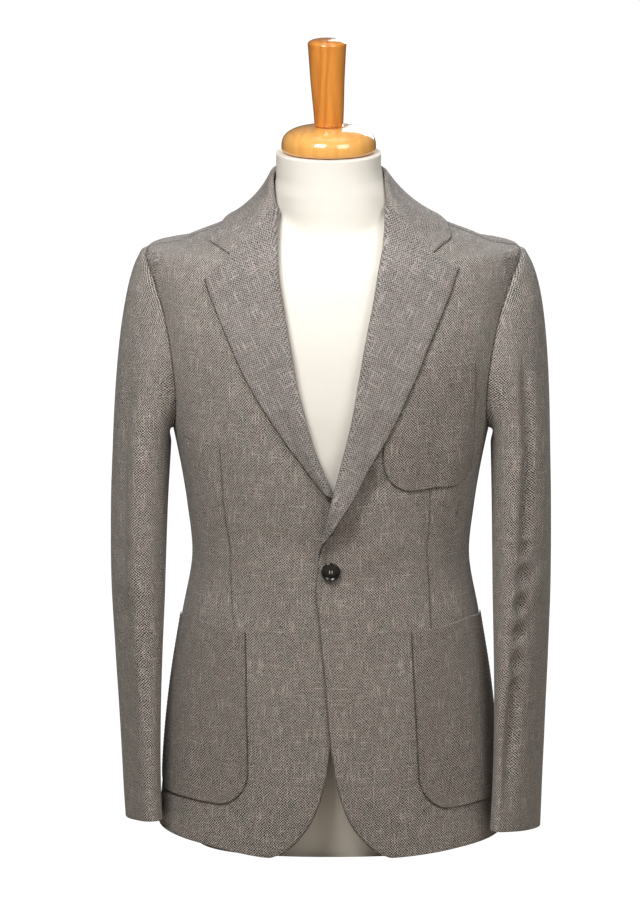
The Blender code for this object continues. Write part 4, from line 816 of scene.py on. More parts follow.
def armhole_angles():
    rows, stops = front_rows()
    up = (rows[rows > stops[2] + 1e-9] - stops[2]) / (1 - stops[2])
    ahead = ARMHOLE_FRONT_SEAM * (1 - np.concatenate([[0], up]))[::-1]
    under = np.linspace(ARMHOLE_FRONT_SEAM, ARMHOLE_BACK_SEAM, SIDE_COLUMNS + 1)
    behind = np.linspace(ARMHOLE_BACK_SEAM, 360, BACK_ROWS_ABOVE + 1)
    return ahead, under, behind


def side_seam(word, column, angle):
    """(turn, height) up a side seam, from the hem to its corner of the armhole."""
    seams = np.array(SIDE_SEAMS)
    corner = armhole(angle)
    low = hem_height(seams[0, column], word)
    height = low + (corner[1] - low) * seam_rows()
    bent = smooth(seams[:, 0], seams[:, column], height)
    bent += (corner[0] - bent[-1]) * seam_rows()
    return np.stack([bent, height], axis=-1)


def front_places(word):
    rows, stops = front_rows()
    edge = in_turns(along(FRONT_EDGE, rows[rows <= stops[1] + 1e-9] / stops[1]))
    roll = in_turns(along(ROLL_LINES[word], ROLL_SHARES))
    neck_share = (rows[rows > stops[3] + 1e-9] - stops[3]) / (1 - stops[3])
    inner = np.concatenate([edge, roll, roll[-1] + (NECK_POINT - roll[-1]) * neck_share[:, None]])
    seam = side_seam(word, 1, ARMHOLE_FRONT_SEAM)
    outer = np.concatenate([seam, armhole(armhole_angles()[0][::-1][1:])])
    across = np.linspace(0, 1, FRONT_COLUMNS + 1)
    turns = inner[0, 0] + (outer[0, 0] - inner[0, 0]) * across
    bottom = np.stack([turns, hem_height(turns, word)], axis=-1)
    bottom[0], bottom[-1] = inner[0], outer[0]
    return body_patch(bottom, shoulder_seam(across), inner, outer, rows)


def lapel_rows(word):
    shares = np.concatenate([[0.0], ROLL_SHARES])
    rolls = along(ROLL_LINES[word], shares)
    fine = np.linspace(0, 1, 2001)
    start = np.interp(BREAKS[word], along(ROLL_LINES[word], fine)[:, 1], fine)
    own = (shares - start) / (1 - start)
    return rolls, own, own > 0.006


def lapel_rest(point, side):
    """Height of the lapel's middle over the panel that it lies on, more over the chest pocket."""
    if side < 0:
        return LAPEL_EDGE_LIFT + 0 * point[..., 0]
    pocket = POCKETS["pocket_chest"]
    x, z = point[..., 0], point[..., 2]
    over = ramp(z, pocket["bottom"] - POCKET_LIFT_SPREAD, pocket["bottom"])
    over = over * ramp(z, pocket["top"] + POCKET_LIFT_SPREAD, pocket["top"] + 0.002)
    over = over * ramp(x, pocket["front"][0] - POCKET_LIFT_SPREAD, pocket["front"][0] - 0.002)
    return LAPEL_EDGE_LIFT + POCKET_LIFT * over


def lapel_grid(word):
    """The lapel's middle points: each row wraps round the roll and runs back over the front to the edge."""
    side = 1 if word == "left" else -1
    rolls, own, turned_rows = lapel_rows(word)
    rolls, own = rolls[turned_rows], own[turned_rows]
    tangents = unit(np.gradient(rolls, axis=0))
    fine = np.linspace(0, 1, 2001)
    edge = along(LAPEL_EDGES[word], fine)
    square = np.array([fine[np.argmin(np.abs((edge - r) @ t))] for r, t in zip(rolls, tangents)])
    rim = along(LAPEL_EDGES[word], square + (own - square) * ramp(own, 0.25, 0.85))
    gorge_shares = np.linspace(0, 1, GORGE_COLUMNS + 1)[:, None]
    tip_shares = np.linspace(0, 1, LAPEL_COLUMNS - GORGE_COLUMNS + 1)[1:, None]
    start, notch, tip = rolls[-1], np.array(NOTCHES[word]), rim[-1]
    top = np.concatenate([start + (notch - start) * gorge_shares, notch + (tip - notch) * tip_shares])
    even = np.linspace(0, 1, LAPEL_COLUMNS + 1)[:, None]
    bottom = rolls[0] + (rim[0] - rolls[0]) * even
    flat = patch(bottom, top, rolls, rim, (own - own[0]) / (own[-1] - own[0]))
    grid = []
    for i, height in enumerate(rolls[:, 1]):
        radius = ROLL_RADIUS_LOW + (ROLL_RADIUS_HIGH - ROLL_RADIUS_LOW) * own[i]
        turned = ramp(height, BREAKS[word] - FULL_ROLL / 8, BREAKS[word] + FULL_ROLL)
        half = math.pi * radius
        run = lengths(flat[i], 0)
        full = np.concatenate([np.linspace(0, half, ARC_COLUMNS, endpoint=False), half + run])
        settled = ramp(run[-1], 0.003, 0.018)
        walked = turned * (full * settled + full[-1] * np.linspace(0, 1, len(full)) * (1 - settled))
        base = front_point(rolls[i])
        out = outward(base)
        away = unit(np.cross(front_point(rolls[i] + tangents[i] * 0.002) - base, out))
        away *= np.sign(away[0])
        base = base + out * (overlap_lift(base, side) - CLOTH / 2)
        a = np.minimum(walked, half)[:, None] / radius
        arc = base - away * radius * np.sin(a) + out * radius * (1 - np.cos(a))
        far = np.maximum(walked - half, 0)
        point = front_point(np.stack([np.interp(far, run, flat[i, :, k]) for k in (0, 1)], axis=-1))
        share = far / run[-1]
        rest = overlap_lift(point, side) + lapel_rest(point, side)
        if side > 0:
            rest = rest + LAPEL_STANDS_OFF * hump(height, LAPEL_STANDS_AT, LAPEL_STANDS_OVER)
        rolled = overlap_lift(base, side) - CLOTH / 2 + 2 * radius
        lifted = point + outward(point) * (rolled + (rest - rolled) * ramp(share, 0, 0.8))[:, None]
        grid.append(np.where((walked <= half)[:, None], arc, lifted))
    return np.array(grid)


def dart_distance(word, places):
    """Signed distance of a front's points from its dart, which grows past the dart's two ends."""
    line = np.array(DARTS[word])
    order = np.argsort(line[:, 1])
    points = surface(places[..., 0], places[..., 1])
    dart_x = smooth(line[order, 1], line[order, 0], points[..., 2])
    above, below = points[..., 2] - line[:, 1].max(), line[:, 1].min() - points[..., 2]
    past = np.maximum(above, 0) + np.maximum(below, 0)
    away = points[..., 0] - dart_x
    return away + np.sign(away + 1e-12) * past * 1.5


def front(side, word):
    """One front with its turned lapel, and the facing that covers the lapel's face."""
    places = front_places(word)
    outer = surface(places[..., 0], places[..., 1])
    normal = outward(outer)
    body = drawn_in(outer, normal) + normal * (overlap_lift(outer, side)[..., None] - CLOTH / 2)
    whole = lapel_grid(word)
    turned = lapel_rows(word)[2]
    first = EDGE_ROWS + int(np.argmax(turned))
    across = sheet_normals(whole)
    across *= np.sign((across[:, 1] * normal[first : first + len(whole), 0]).sum(-1))[:, None, None]
    across[:, 0] = normal[first : first + len(whole), 0]
    body[first : first + len(whole), 0] = whole[:, 0]
    root = np.repeat(body[first - 1 : first, :1], whole.shape[1], axis=1)
    whole = np.concatenate([root, whole])
    across = np.concatenate([across[:1], across])

    mirror = np.array([side, 1, 1])
    flat = on_the_cloth(places)
    finished = np.where(np.arange(len(body)) < first, EDGE_ROUNDING, 0.0)
    finished[first + len(whole) - 1 :] = SEAM_ROUNDING
    edges = (EDGE_ROUNDING, SHOULDER_ROUNDING, finished, SEAM_ROUNDING)
    body_worn = in_wear(body * mirror, HOLLOW_LINES if side > 0 else ())
    line = np.abs(dart_distance(word, places))
    # Painted shade: a dark line along the front's edge below the lapel.
    line[:first] = np.minimum(line[:first], lengths(body, 1)[:first] * EDGE_SHADE_LINE)
    # Painted shade on the left front under the lapel's lower edge, fading away from it.
    if side > 0:
        shade = path_on_front(along(LAPEL_EDGES[word], np.linspace(*SHADE_SHARES, 30)))
        from_shade = np.linalg.norm(body[:, :, None] - shade, axis=-1).min(axis=-1)
        line = np.minimum(line, SHADE_DARKEST + from_shade * SHADE_FADE)
    shells = [cloth_shell(body_worn, normal * mirror, CLOTH, flat, edges, line)]

    lapel = in_wear(whole * mirror)
    from_edge = lengths(whole, 1)
    from_edge = from_edge[:, -1:] - from_edge
    start = np.minimum(np.arange(whole.shape[1]), ARC_COLUMNS)
    root = whole[:, np.maximum(np.arange(whole.shape[1]), ARC_COLUMNS)]
    rolled = lengths(whole, 1)[:, ARC_COLUMNS, None] - lengths(whole, 1)[:, start]
    out_from_roll = root[..., 0] * math.sin(LAPEL_GRAIN) - root[..., 2] * math.cos(LAPEL_GRAIN) - rolled
    up_the_lapel = root[..., 0] * math.cos(LAPEL_GRAIN) + root[..., 2] * math.sin(LAPEL_GRAIN)
    lapel_flat = np.stack([out_from_roll, up_the_lapel], axis=-1)
    towards = across * mirror
    far = np.full(whole.shape[:2], 1.0)
    reach = np.clip(from_edge[:, 0] * 0.25, 0.0004, LAPEL_THINS)
    shells.append(cloth_shell(lapel, towards, CLOTH, lapel_flat, (0.0, EDGE_ROUNDING, 0.0, reach), far))
    thing = cloth_piece("front_" + word, shells, "wool")
    thinned = np.maximum(quarter_round(from_edge, reach[:, None]), 0.05)[..., None]
    cover = lapel - towards * ((CLOTH / 2 + FACING / 2) * thinned + 0.00004)
    cover, reach, from_edge = cover[1:], reach[1:], from_edge[1:]
    edges = (0.0, EDGE_ROUNDING, 0.0, reach)
    # Painted shade: the facing's distance from the lapel's edge feeds the dark line along that edge.
    shell = cloth_shell(cover, towards[1:], FACING, lapel_flat[1:], edges, from_edge)
    return {
        "front_" + word: (thing, body_worn),
        "facing_" + word: (cloth_piece("facing_" + word, [shell], "lapel"), cover),
    }


# ---------------------------------------------------------------- side panels, backs and sleeves
def side_places(word):
    edges = [side_seam(word, 1, ARMHOLE_FRONT_SEAM), side_seam(word, 2, ARMHOLE_BACK_SEAM)]
    across = np.linspace(0, 1, SIDE_COLUMNS + 1)
    turns = edges[0][0, 0] + (edges[1][0, 0] - edges[0][0, 0]) * across
    bottom = np.stack([turns, hem_height(turns, word)], axis=-1)
    return patch(bottom, armhole(armhole_angles()[1]), edges[0], edges[1], seam_rows())


def back_places(word):
    above = np.linspace(BACK_SEAM_SHARE, 1, BACK_ROWS_ABOVE + 1)[1:]
    rows = np.concatenate([seam_rows() * BACK_SEAM_SHARE, above])
    hole = armhole(armhole_angles()[2][1:])
    outer = np.concatenate([side_seam(word, 2, ARMHOLE_BACK_SEAM), hole])
    centre = hem_height(180.0, word) + (BACK_NECK_HEIGHT - hem_height(180.0, word)) * rows
    inner = np.stack([180 + 0 * centre, centre], axis=-1)
    turns = 180 + (outer[0, 0] - 180) * np.linspace(0, 1, BACK_COLUMNS + 1)
    bottom = np.stack([turns, hem_height(turns, word)], axis=-1)
    bottom[-1] = outer[0]
    neck = np.linspace(0, 1, NECK_COLUMNS + 1)
    neck_height = BACK_NECK_HEIGHT + (NECK_POINT_HEIGHT - BACK_NECK_HEIGHT) * neck**2
    neck_line = np.stack([180 - 90 * neck, neck_height], axis=-1)
    seam_line = shoulder_seam(np.linspace(0, 1, BACK_COLUMNS - NECK_COLUMNS + 1)[1:])
    return body_patch(bottom, np.concatenate([neck_line, seam_line]), inner, outer, rows, back=True)


def panel(name, places, side, from_behind):
    outer = surface(places[..., 0], places[..., 1])
    normal = outward(outer)
    middle = drawn_in(outer, normal) - normal * CLOTH / 2
    mirror = np.array([side, 1, 1])
    middle = in_wear(middle * mirror)
    flat = on_the_cloth(places, from_behind)
    top = SHOULDER_ROUNDING if from_behind else SEAM_ROUNDING
    edges = (EDGE_ROUNDING, top, SEAM_ROUNDING, SEAM_ROUNDING)
    far = np.full(places.shape[:2], 1.0)
    shell = cloth_shell(middle, normal * mirror, CLOTH, flat, edges, far)
    return {name: (cloth_piece(name, [shell], "wool"), middle)}


def sleeve_ring(side, height, angles):
    s = table_at(SLEEVES[side], SLEEVE_COLUMNS, height)
    lean = (table_at(SLEEVES[side], SLEEVE_COLUMNS, height + 0.02)["y"] - s["y"]) / 0.02
    angle, turn = np.radians(angles), np.radians(s["turn"])
    power = 2 / SLEEVE_SQUARENESS
    across = s["thick"] * np.sign(np.cos(angle)) * np.abs(np.cos(angle)) ** power
    ahead = s["deep"] * np.sign(np.sin(angle)) * np.abs(np.sin(angle)) ** power
    for fold_side, at, spread_deg, deep in SLEEVE_FOLDS:
        if fold_side == side:
            dip = deep * hump(angles, at, spread_deg) * ramp(height, 0.46, 0.38)
            across = across - dip * np.cos(np.radians(at))
            ahead = ahead - dip * np.sin(np.radians(at)) * 0.5
    x = s["x"] + across * np.cos(turn) - ahead * np.sin(turn)
    y = s["y"] - ahead * np.cos(turn) - across * np.sin(turn)
    return np.stack([x, y, height + ahead * lean * ramp(height, 0.44, 0.30)], axis=-1)


def sleeve_grid(side, angles):
    hole = armhole(angles)
    start = surface(hole[:, 0], hole[:, 1])
    heights = np.array([row[0] for row in SLEEVES[side]])
    end = sleeve_ring(side, heights[0], angles)
    below = sleeve_ring(side, heights[0] - 0.01, angles)
    head = np.array(SLEEVE_HEAD)
    leave = unit(np.stack([smooth(head[:, 0], head[:, k], angles) for k in (1, 2, 3)], axis=-1))
    leave = leave * smooth(head[:, 0], head[:, 4], angles)[:, None] * SLEEVE_FULLNESS[side]
    arrive = unit(below - end) * np.linalg.norm(end - start, axis=1)[:, None] * 0.9
    rows = []
    for t in np.linspace(0, 1, SLEEVE_HEAD_ROWS + 1) ** 1.25:
        rows.append(
            start * (1 + 2 * t) * (1 - t) ** 2
            + end * t * t * (3 - 2 * t)
            + leave * t * (1 - t) ** 2
            - arrive * t * t * (1 - t)
        )
    round_hole = np.roll(start, -1, axis=0) - np.roll(start, 1, axis=0)
    into_hole = unit(np.cross(round_hole, outward(start)))
    into_hole *= np.sign((into_hole * (start.mean(axis=0) - start)).sum(-1))[:, None]
    rows[0] = start + into_hole * HALF_SEAM
    for share in np.linspace(0, 1, SLEEVE_ROWS + 1)[1:]:
        rows.append(sleeve_ring(side, heights[0] + (heights[-1] - heights[0]) * share, angles))
    return np.array(rows), outward(start)


def sleeve_spot(side, places):
    """Points on the sleeve at (turn round the sleeve, height) places."""
    line = along(places, np.linspace(0, 1, 220))
    return np.concatenate([sleeve_ring(side, h, np.array([a])) for a, h in line])


def sleeve_weave(grid):
    """Places on the flat cloth: round and down the sleeve, and upright above the biceps."""
    round_it, down = lengths(grid, 1), lengths(grid, 0).mean(axis=1, keepdims=True)
    across = round_it - round_it[:, -1:] / 2
    up = down[-1] - down + grid[..., 2] - grid[..., 2].mean(axis=1, keepdims=True)
    ring = grid[SLEEVE_HEAD_ROWS]
    round_ring = unit(np.gradient(ring, axis=0) * (1, 1, 0))
    reach = grid[:SLEEVE_HEAD_ROWS] - ring
    inwards = (reach * np.cross(round_ring, (0, 0, 1))).sum(-1)
    across[:SLEEVE_HEAD_ROWS] = across[SLEEVE_HEAD_ROWS] + (reach * round_ring).sum(-1)
    up[:SLEEVE_HEAD_ROWS] = up[SLEEVE_HEAD_ROWS] + np.hypot(reach[..., 2], inwards)
    return np.stack([across, up], axis=-1)


# The sleeve head's little roll: its height, its distance from the armhole seam and its width.
ROPING, ROPING_AT, ROPING_WIDTH = 0.0011, 0.0065, 0.0040


def sleeve(side, word):
    mirror = np.array([side, 1, 1])
    ahead, under, behind = armhole_angles()
    angles = np.concatenate([ahead, under[1:], behind[1:-1]])
    ring, at_hole = sleeve_grid(word, angles)
    normals = sheet_normals(ring, looped=True)
    normals *= np.sign(((ring - ring.mean(axis=1, keepdims=True)) * normals).sum(-1))[..., None]
    normals[0] = at_hole
    drape = DRAPE_OF_SLEEVES[word]
    lines = [(wide, high, sleeve_spot(word, places)) for wide, high, places in drape]
    amount = np.stack([worn(row, lines) for row in ring])
    calm = ring.copy()
    from_hole = lengths(ring, 0)
    roping = hump(from_hole, ROPING_AT, ROPING_WIDTH) * ramp(np.cos(np.radians(angles)), 0.1, 0.7)
    amount = amount * ramp(from_hole, 0.0, 0.03) + ROPING * roping
    ring = ring + normals * amount[..., None]
    middle = ring - normals * CLOTH / 2
    first, last = len(ahead) - 1, len(ahead) + len(under) - 2 + UNDER_SLEEVE_STEPS
    around = np.arange(len(angles))
    strips = {
        "under": around[first : last + 1],
        "top": np.concatenate([around[last:], around[: first + 1]]),
    }
    made = {}
    for name, columns in strips.items():
        grid = middle[:, columns].copy()
        for edge, inside in ((0, 1), (-1, -2)):
            grid[:, edge] += unit(grid[:, inside] - grid[:, edge]) * HALF_SEAM
        flat = sleeve_weave(calm[:, columns])
        edges = (SEAM_ROUNDING, EDGE_ROUNDING, SEAM_ROUNDING, SEAM_ROUNDING)
        line = from_hole[:, columns] * HOLE_LINE
        shell = cloth_shell(grid * mirror, normals[:, columns] * mirror, CLOTH, flat, edges, line)
        full_name = f"sleeve_{name}_{word}"
        made[full_name] = (cloth_piece(full_name, [shell], "wool"), grid)
    return made


# ---------------------------------------------------------------- collar
def gorge_section(word):
    lapel = lapel_grid(word)[-1][: ARC_COLUMNS + GORGE_COLUMNS + 1]
    flat_end = front_point(np.array(COLLAR_CORNERS[word]))
    corner = flat_end + outward(flat_end) * COLLAR_LIFT
    end = lapel[-1] + (corner - lapel[-1]) * np.linspace(0, 1, LAPEL_COLUMNS - GORGE_COLUMNS + 1)[1:, None]
    neck = surface(*NECK_POINT)
    neck = neck - outward(neck) * CLOTH / 2
    back_down = np.linspace(1, 0, STAND_COLUMNS + 1)[:-1, None]
    stand = lapel[0] + (unit(neck - lapel[0]) * STAND_AT_GORGE + np.array([0, 0, STAND_GAP])) * back_down
    line = np.concatenate([stand, lapel, end])
    along_gorge = unit(lapel[-1] - lapel[ARC_COLUMNS])
    off_gorge = unit(np.cross(along_gorge, outward(lapel[-1])))
    apart = np.full((len(line), 1), 3.5 * HALF_SEAM)
    apart[: STAND_COLUMNS + ARC_COLUMNS] = GORGE_GAP
    return line + off_gorge * np.sign(off_gorge[2]) * apart


def collar_section(word, share, x, y, height, leaf_turn, leaf_height):
    """One section of the collar: up its stand, over the crease and down its leaf."""
    crease = np.array([x, y, height])
    leaf_base = surface(leaf_turn, leaf_height)
    leaf_out = outward(leaf_base)
    leaf = leaf_base + leaf_out * COLLAR_LIFT
    if share < NECK_SHARE:
        u = share / NECK_SHARE
        seam = surface(180 - 90 * u, BACK_NECK_HEIGHT + (NECK_POINT_HEIGHT - BACK_NECK_HEIGHT) * u**2)
    else:
        start = in_turns(np.array(ROLL_LINES[word][-1]))
        u = (share - NECK_SHARE) / (1 - NECK_SHARE)
        seam = surface(*(NECK_POINT + (start - NECK_POINT) * u))
    up = unit(crease - seam)
    seam = seam - outward(seam) * CLOTH / 2 + up * STAND_GAP
    crossing = unit(np.cross(np.cross(up, leaf - crease), up))
    stand = [seam + (crease - seam) * u for u in np.linspace(0, 1, STAND_COLUMNS + 1)[:-1]]
    turned = [
        crease + crossing * CREASE_RADIUS * (1 - math.cos(a)) + up * CREASE_RADIUS * math.sin(a)
        for a in np.linspace(0, math.pi, ARC_COLUMNS + 1)
    ]
    foot = turned[-1]
    reach = np.linalg.norm(leaf - foot)
    down = unit(leaf - crease)
    lie = unit(down - leaf_out * (down @ leaf_out))
    a, b = foot - up * reach * 0.15, leaf - lie * reach * 0.50
    u = np.linspace(0, 1, LAPEL_COLUMNS + 1)[1:, None]
    fall = foot * (1 - u) ** 3 + 3 * a * u * (1 - u) ** 2 + 3 * b * u * u * (1 - u) + leaf * u**3
    return np.concatenate([np.array(stand), np.array(turned), fall])


def collar():
    """Stand and leaf in one fold, from one gorge seam round the neck to the other."""
    mirror = np.array([-1, 1, 1])
    shares = [row[0] for row in COLLAR["left"]] + [1.0]
    keys = [collar_section("right", *row) * mirror for row in COLLAR["right"][:0:-1]]
    keys += [collar_section("left", *row) for row in COLLAR["left"]]
    keys = np.array([gorge_section("right") * mirror] + keys + [gorge_section("left")])
    stops = np.array([-v for v in shares[:0:-1]] + shares)
    want = np.linspace(-1, 1, 2 * COLLAR_SECTIONS + 1)
    flat = keys.reshape(len(keys), -1)
    grid = np.stack([smooth(stops, flat[:, k], want) for k in range(flat.shape[1])], axis=-1)
    grid = grid.reshape(len(want), -1, 3)
    leaf = STAND_COLUMNS + ARC_COLUMNS + 1
    moved = clear_of_body(grid[1:-1, leaf:], COLLAR_LIFT)
    settled = ramp(np.arange(moved.shape[1]) / LAPEL_COLUMNS, 0.12, 0.34)[None, :, None]
    grid[1:-1, leaf:] += (moved - grid[1:-1, leaf:]) * settled
    normals = sheet_normals(grid)
    along_leaf = lengths(grid, 0) - lengths(grid, 0)[COLLAR_SECTIONS]
    down = lengths(grid, 1)
    bias = np.stack([(along_leaf + down), (along_leaf - down)], axis=-1) * math.sqrt(0.5)
    edges = (SEAM_ROUNDING, SEAM_ROUNDING, SEAM_ROUNDING, EDGE_ROUNDING)
    shell = cloth_shell(grid, normals, COLLAR_CLOTH, bias, edges, np.full(grid.shape[:2], 1.0))
    return {"collar": (cloth_piece("collar", [shell], "collar"), grid)}


# ---------------------------------------------------------------- pockets
def pocket(name, size):
    """A patch with round lower corners, laid on the panels' own surface. Its mouth rises to the rear."""
    corner, tall = size["corner"], size["top"] - size["bottom"]
    rows = [(down, 0.0) for down in np.linspace(0, tall - corner, POCKET_ROWS, endpoint=False)]
    for a in np.radians(np.linspace(0, 84, POCKET_CORNER_ROWS + 1)):
        rows.append((tall - corner * (1 - math.sin(a)), corner * (1 - math.cos(a))))
    grid = []
    for down, cut in rows:
        height, share = size["top"] - down, down / tall
        front_turn = turn_at(size["front"][0] + (size["front"][1] - size["front"][0]) * share, height)
        rear_turn = size["rear"][0] + (size["rear"][1] - size["rear"][0]) * share
        across = np.linspace(0, 1, 120)
        rise = np.interp(across, (0, 0.6, 1), (0, *size["rise"])) * ramp(share, 0.5, 0.0)
        line = surface(front_turn + (rear_turn - front_turn) * across, height + rise)
        walked = lengths(line, 0)
        want = np.linspace(cut, walked[-1] - cut, POCKET_COLUMNS + 1)
        grid.append(np.stack([np.interp(want, walked, line[:, k]) for k in range(3)], axis=-1))
    outer = np.array(grid)
    normal = outward(outer)
    mirror = np.array([size["side"], 1, 1])
    middle = in_wear((outer + normal * (LAID_ON + POCKET_CLOTH / 2)) * mirror)
    x_across, down = lengths(middle, 1), lengths(middle, 0)
    flat = np.stack([x_across - x_across[:, -1:] / 2 + 0.0007, 0.0009 - down], axis=-1)
    edges = (EDGE_ROUNDING,) * 4
    # Painted shade: the distances from the pocket's sides and bottom feed a dark line along those turned
    # edges.
    from_side = np.minimum(x_across, x_across[:, -1:] - x_across)
    from_edge = np.minimum(from_side, down[-1:] - down)
    shell = cloth_shell(middle, normal * mirror, POCKET_CLOTH, flat, edges, from_edge)
    return {name: (cloth_piece(name, [shell], "pocket"), middle)}


# ---------------------------------------------------------------- finishes
class Pattern:
    """A short way to lay out the nodes of one finish."""

    def __init__(self, tree):
        self.tree = tree

    def node(self, kind, links=None, **settings):
        made = self.tree.nodes.new(kind)
        for key, value in settings.items():
            setattr(made, key, value)
        for key, value in (links or {}).items():
            self.set(made.inputs[key], value)
        return made

    def set(self, socket, value):
        if isinstance(value, bpy.types.NodeSocket):
            self.tree.links.new(value, socket)
        else:
            socket.default_value = value

    def own_place(self):
        return self.node("ShaderNodeTexCoord").outputs["Object"]

    def math(self, operation, a, b=0.0, clamp=False):
        return self.node("ShaderNodeMath", {0: a, 1: b}, operation=operation, use_clamp=clamp).outputs[0]

    def times(self, a, b):
        return self.math("MULTIPLY", a, b)

    def sum(self, first, *terms):
        for term in terms:
            first = self.math("ADD", first, term)
        return first

    def vector(self, operation, a, b):
        return self.node("ShaderNodeVectorMath", {0: a, 1: b}, operation=operation).outputs[0]

    def noise(self, place, scale, detail=2.0, rough=0.5):
        links = {"Vector": place, "Scale": scale, "Detail": detail, "Roughness": rough}
        return self.node("ShaderNodeTexNoise", links).outputs["Fac"]

    def wandering(self, place, scale, detail, amount):
        """The place, moved softly to and fro by up to half this amount."""
        links = {"Vector": place, "Scale": scale, "Detail": detail}
        drift = self.node("ShaderNodeTexNoise", links).outputs["Color"]
        drift = self.vector("SUBTRACT", drift, (0.5, 0.5, 0.5))
        drift = self.node("ShaderNodeVectorMath", {0: drift, "Scale": amount}, operation="SCALE").outputs[0]
        return self.vector("ADD", place, drift)

    def stretched(self, place, across, up, deep=1.0):
        return self.node("ShaderNodeMapping", {"Vector": place, "Scale": (across, up, deep)}).outputs[0]

    def between(self, value, low, high, to_low=0.0, to_high=1.0):
        links = {"Value": value, "From Min": low, "From Max": high, "To Min": to_low, "To Max": to_high}
        return self.node("ShaderNodeMapRange", links).outputs["Result"]

    def blend(self, share, a, b, mode="MIX"):
        settings = {"data_type": "RGBA", "blend_type": mode, "clamp_factor": True}
        return self.node("ShaderNodeMix", {"Factor": share, 6: a, 7: b}, **settings).outputs[2]

    def bump(self, height, strength, distance):
        return self.node("ShaderNodeBump", {"Height": height, "Strength": strength, "Distance": distance})

    def finish(self, colour, roughness, bump=None, more=None):
        """Gives these to the material's own shader, with any more of its values by name."""
        inputs = self.tree.nodes["Principled BSDF"].inputs
        if bump:
            self.set(inputs["Normal"], bump.outputs["Normal"])
        for label, value in {"Base Color": colour, "Roughness": roughness, **(more or {})}.items():
            self.set(inputs[label], value)


def new_finish(name):
    made = bpy.data.materials.new(name)
    made.use_nodes = True
    return made, Pattern(made.node_tree)


def group(name, inputs, outputs, kind="ShaderNodeTree"):
    """An empty node group with these named sockets: its pattern, and its input and output sockets."""
    tree = bpy.data.node_groups.new(name, kind)
    for label, sort, value in inputs:
        socket = tree.interface.new_socket(label, in_out="INPUT", socket_type="NodeSocket" + sort)
        if value is not None:
            socket.default_value = value
    for label, sort in outputs:
        tree.interface.new_socket(label, in_out="OUTPUT", socket_type="NodeSocket" + sort)
    return Pattern(tree), tree.nodes.new("NodeGroupInput").outputs, tree.nodes.new("NodeGroupOutput").inputs


LOOK_OUTPUTS = (("Colour", "Color"), ("Height", "Float"), ("Roughness", "Float"))
FIGURE_PITCH = 0.0030  # from diamond to diamond of the weave


def birdseye_wool():
    """Light and dark yarns crossing in a small diamond figure, with slubs, flecks and soft mottling."""
    p, given, out = group(
        "birdseye wool",
        (
            ("Cloth Place", "Vector", None),
            ("Light Yarn", "Color", (0.40, 0.36, 0.32, 1)),
            ("Dark Yarn", "Color", (0.07, 0.06, 0.05, 1)),
            ("Figure Pitch", "Float", FIGURE_PITCH),
            ("Figure Strength", "Float", 0.22),
            ("Yarn Noise", "Float", 0.5),
            ("Slubs", "Float", 0.3),
            ("Mottling", "Float", 0.1),
        ),
        LOOK_OUTPUTS,
    )
    place = given["Cloth Place"]
    parts = p.node("ShaderNodeSeparateXYZ", {"Vector": p.wandering(place, 240.0, 1.0, 0.0022)}).outputs
    turns = p.math("DIVIDE", 2 * math.pi, given["Figure Pitch"])
    waves = [p.math("COSINE", p.times(parts[k], turns)) for k in ("X", "Y")]
    diamond = p.between(p.times(*waves), -0.45, 0.50, -1.0, 1.0)
    yarn = p.math("SUBTRACT", p.noise(place, 720.0, 2.0, 0.6), 0.5)
    across, upward = (
        p.math("SUBTRACT", p.noise(p.stretched(place, *scale), 1.0, 2.0, 0.6), 0.5)
        for scale in ((900.0, 60.0), (60.0, 900.0))
    )
    slubs_up = p.between(p.noise(p.stretched(place, 640.0, 42.0), 1.0, 1.0), 0.60, 0.76)
    slubs_across = p.between(p.noise(p.stretched(place, 42.0, 640.0), 1.0, 1.0), 0.61, 0.77)
    cloud = p.math("SUBTRACT", p.noise(place, 26.0, 3.0, 0.6), 0.5)
    share = p.sum(
        0.5,
        p.times(diamond, given["Figure Strength"]),
        p.times(yarn, p.times(given["Yarn Noise"], 2.6)),
        p.times(p.times(p.sum(across, upward), given["Yarn Noise"]), 1.3),
        p.times(p.sum(slubs_up, p.times(slubs_across, 0.8)), given["Slubs"]),
    )
    share = p.math("ADD", share, p.times(cloud, given["Mottling"]), clamp=True)
    mixed = p.blend(share, given["Dark Yarn"], given["Light Yarn"])
    tint = p.noise(place, 55.0, 2.0, 0.5)
    rosy = p.blend(1.0, mixed, (1.045, 0.985, 0.985, 1), "MULTIPLY")
    rosy = p.blend(p.between(tint, 0.44, 0.70), mixed, rosy)
    mossy = p.blend(1.0, rosy, (0.985, 1.01, 0.975, 1), "MULTIPLY")
    p.set(out["Colour"], p.blend(p.between(tint, 0.46, 0.28), rosy, mossy))
    p.set(out["Height"], share)
    p.set(out["Roughness"], p.between(share, 0.0, 1.0, 0.92, 0.80))
    return p.tree


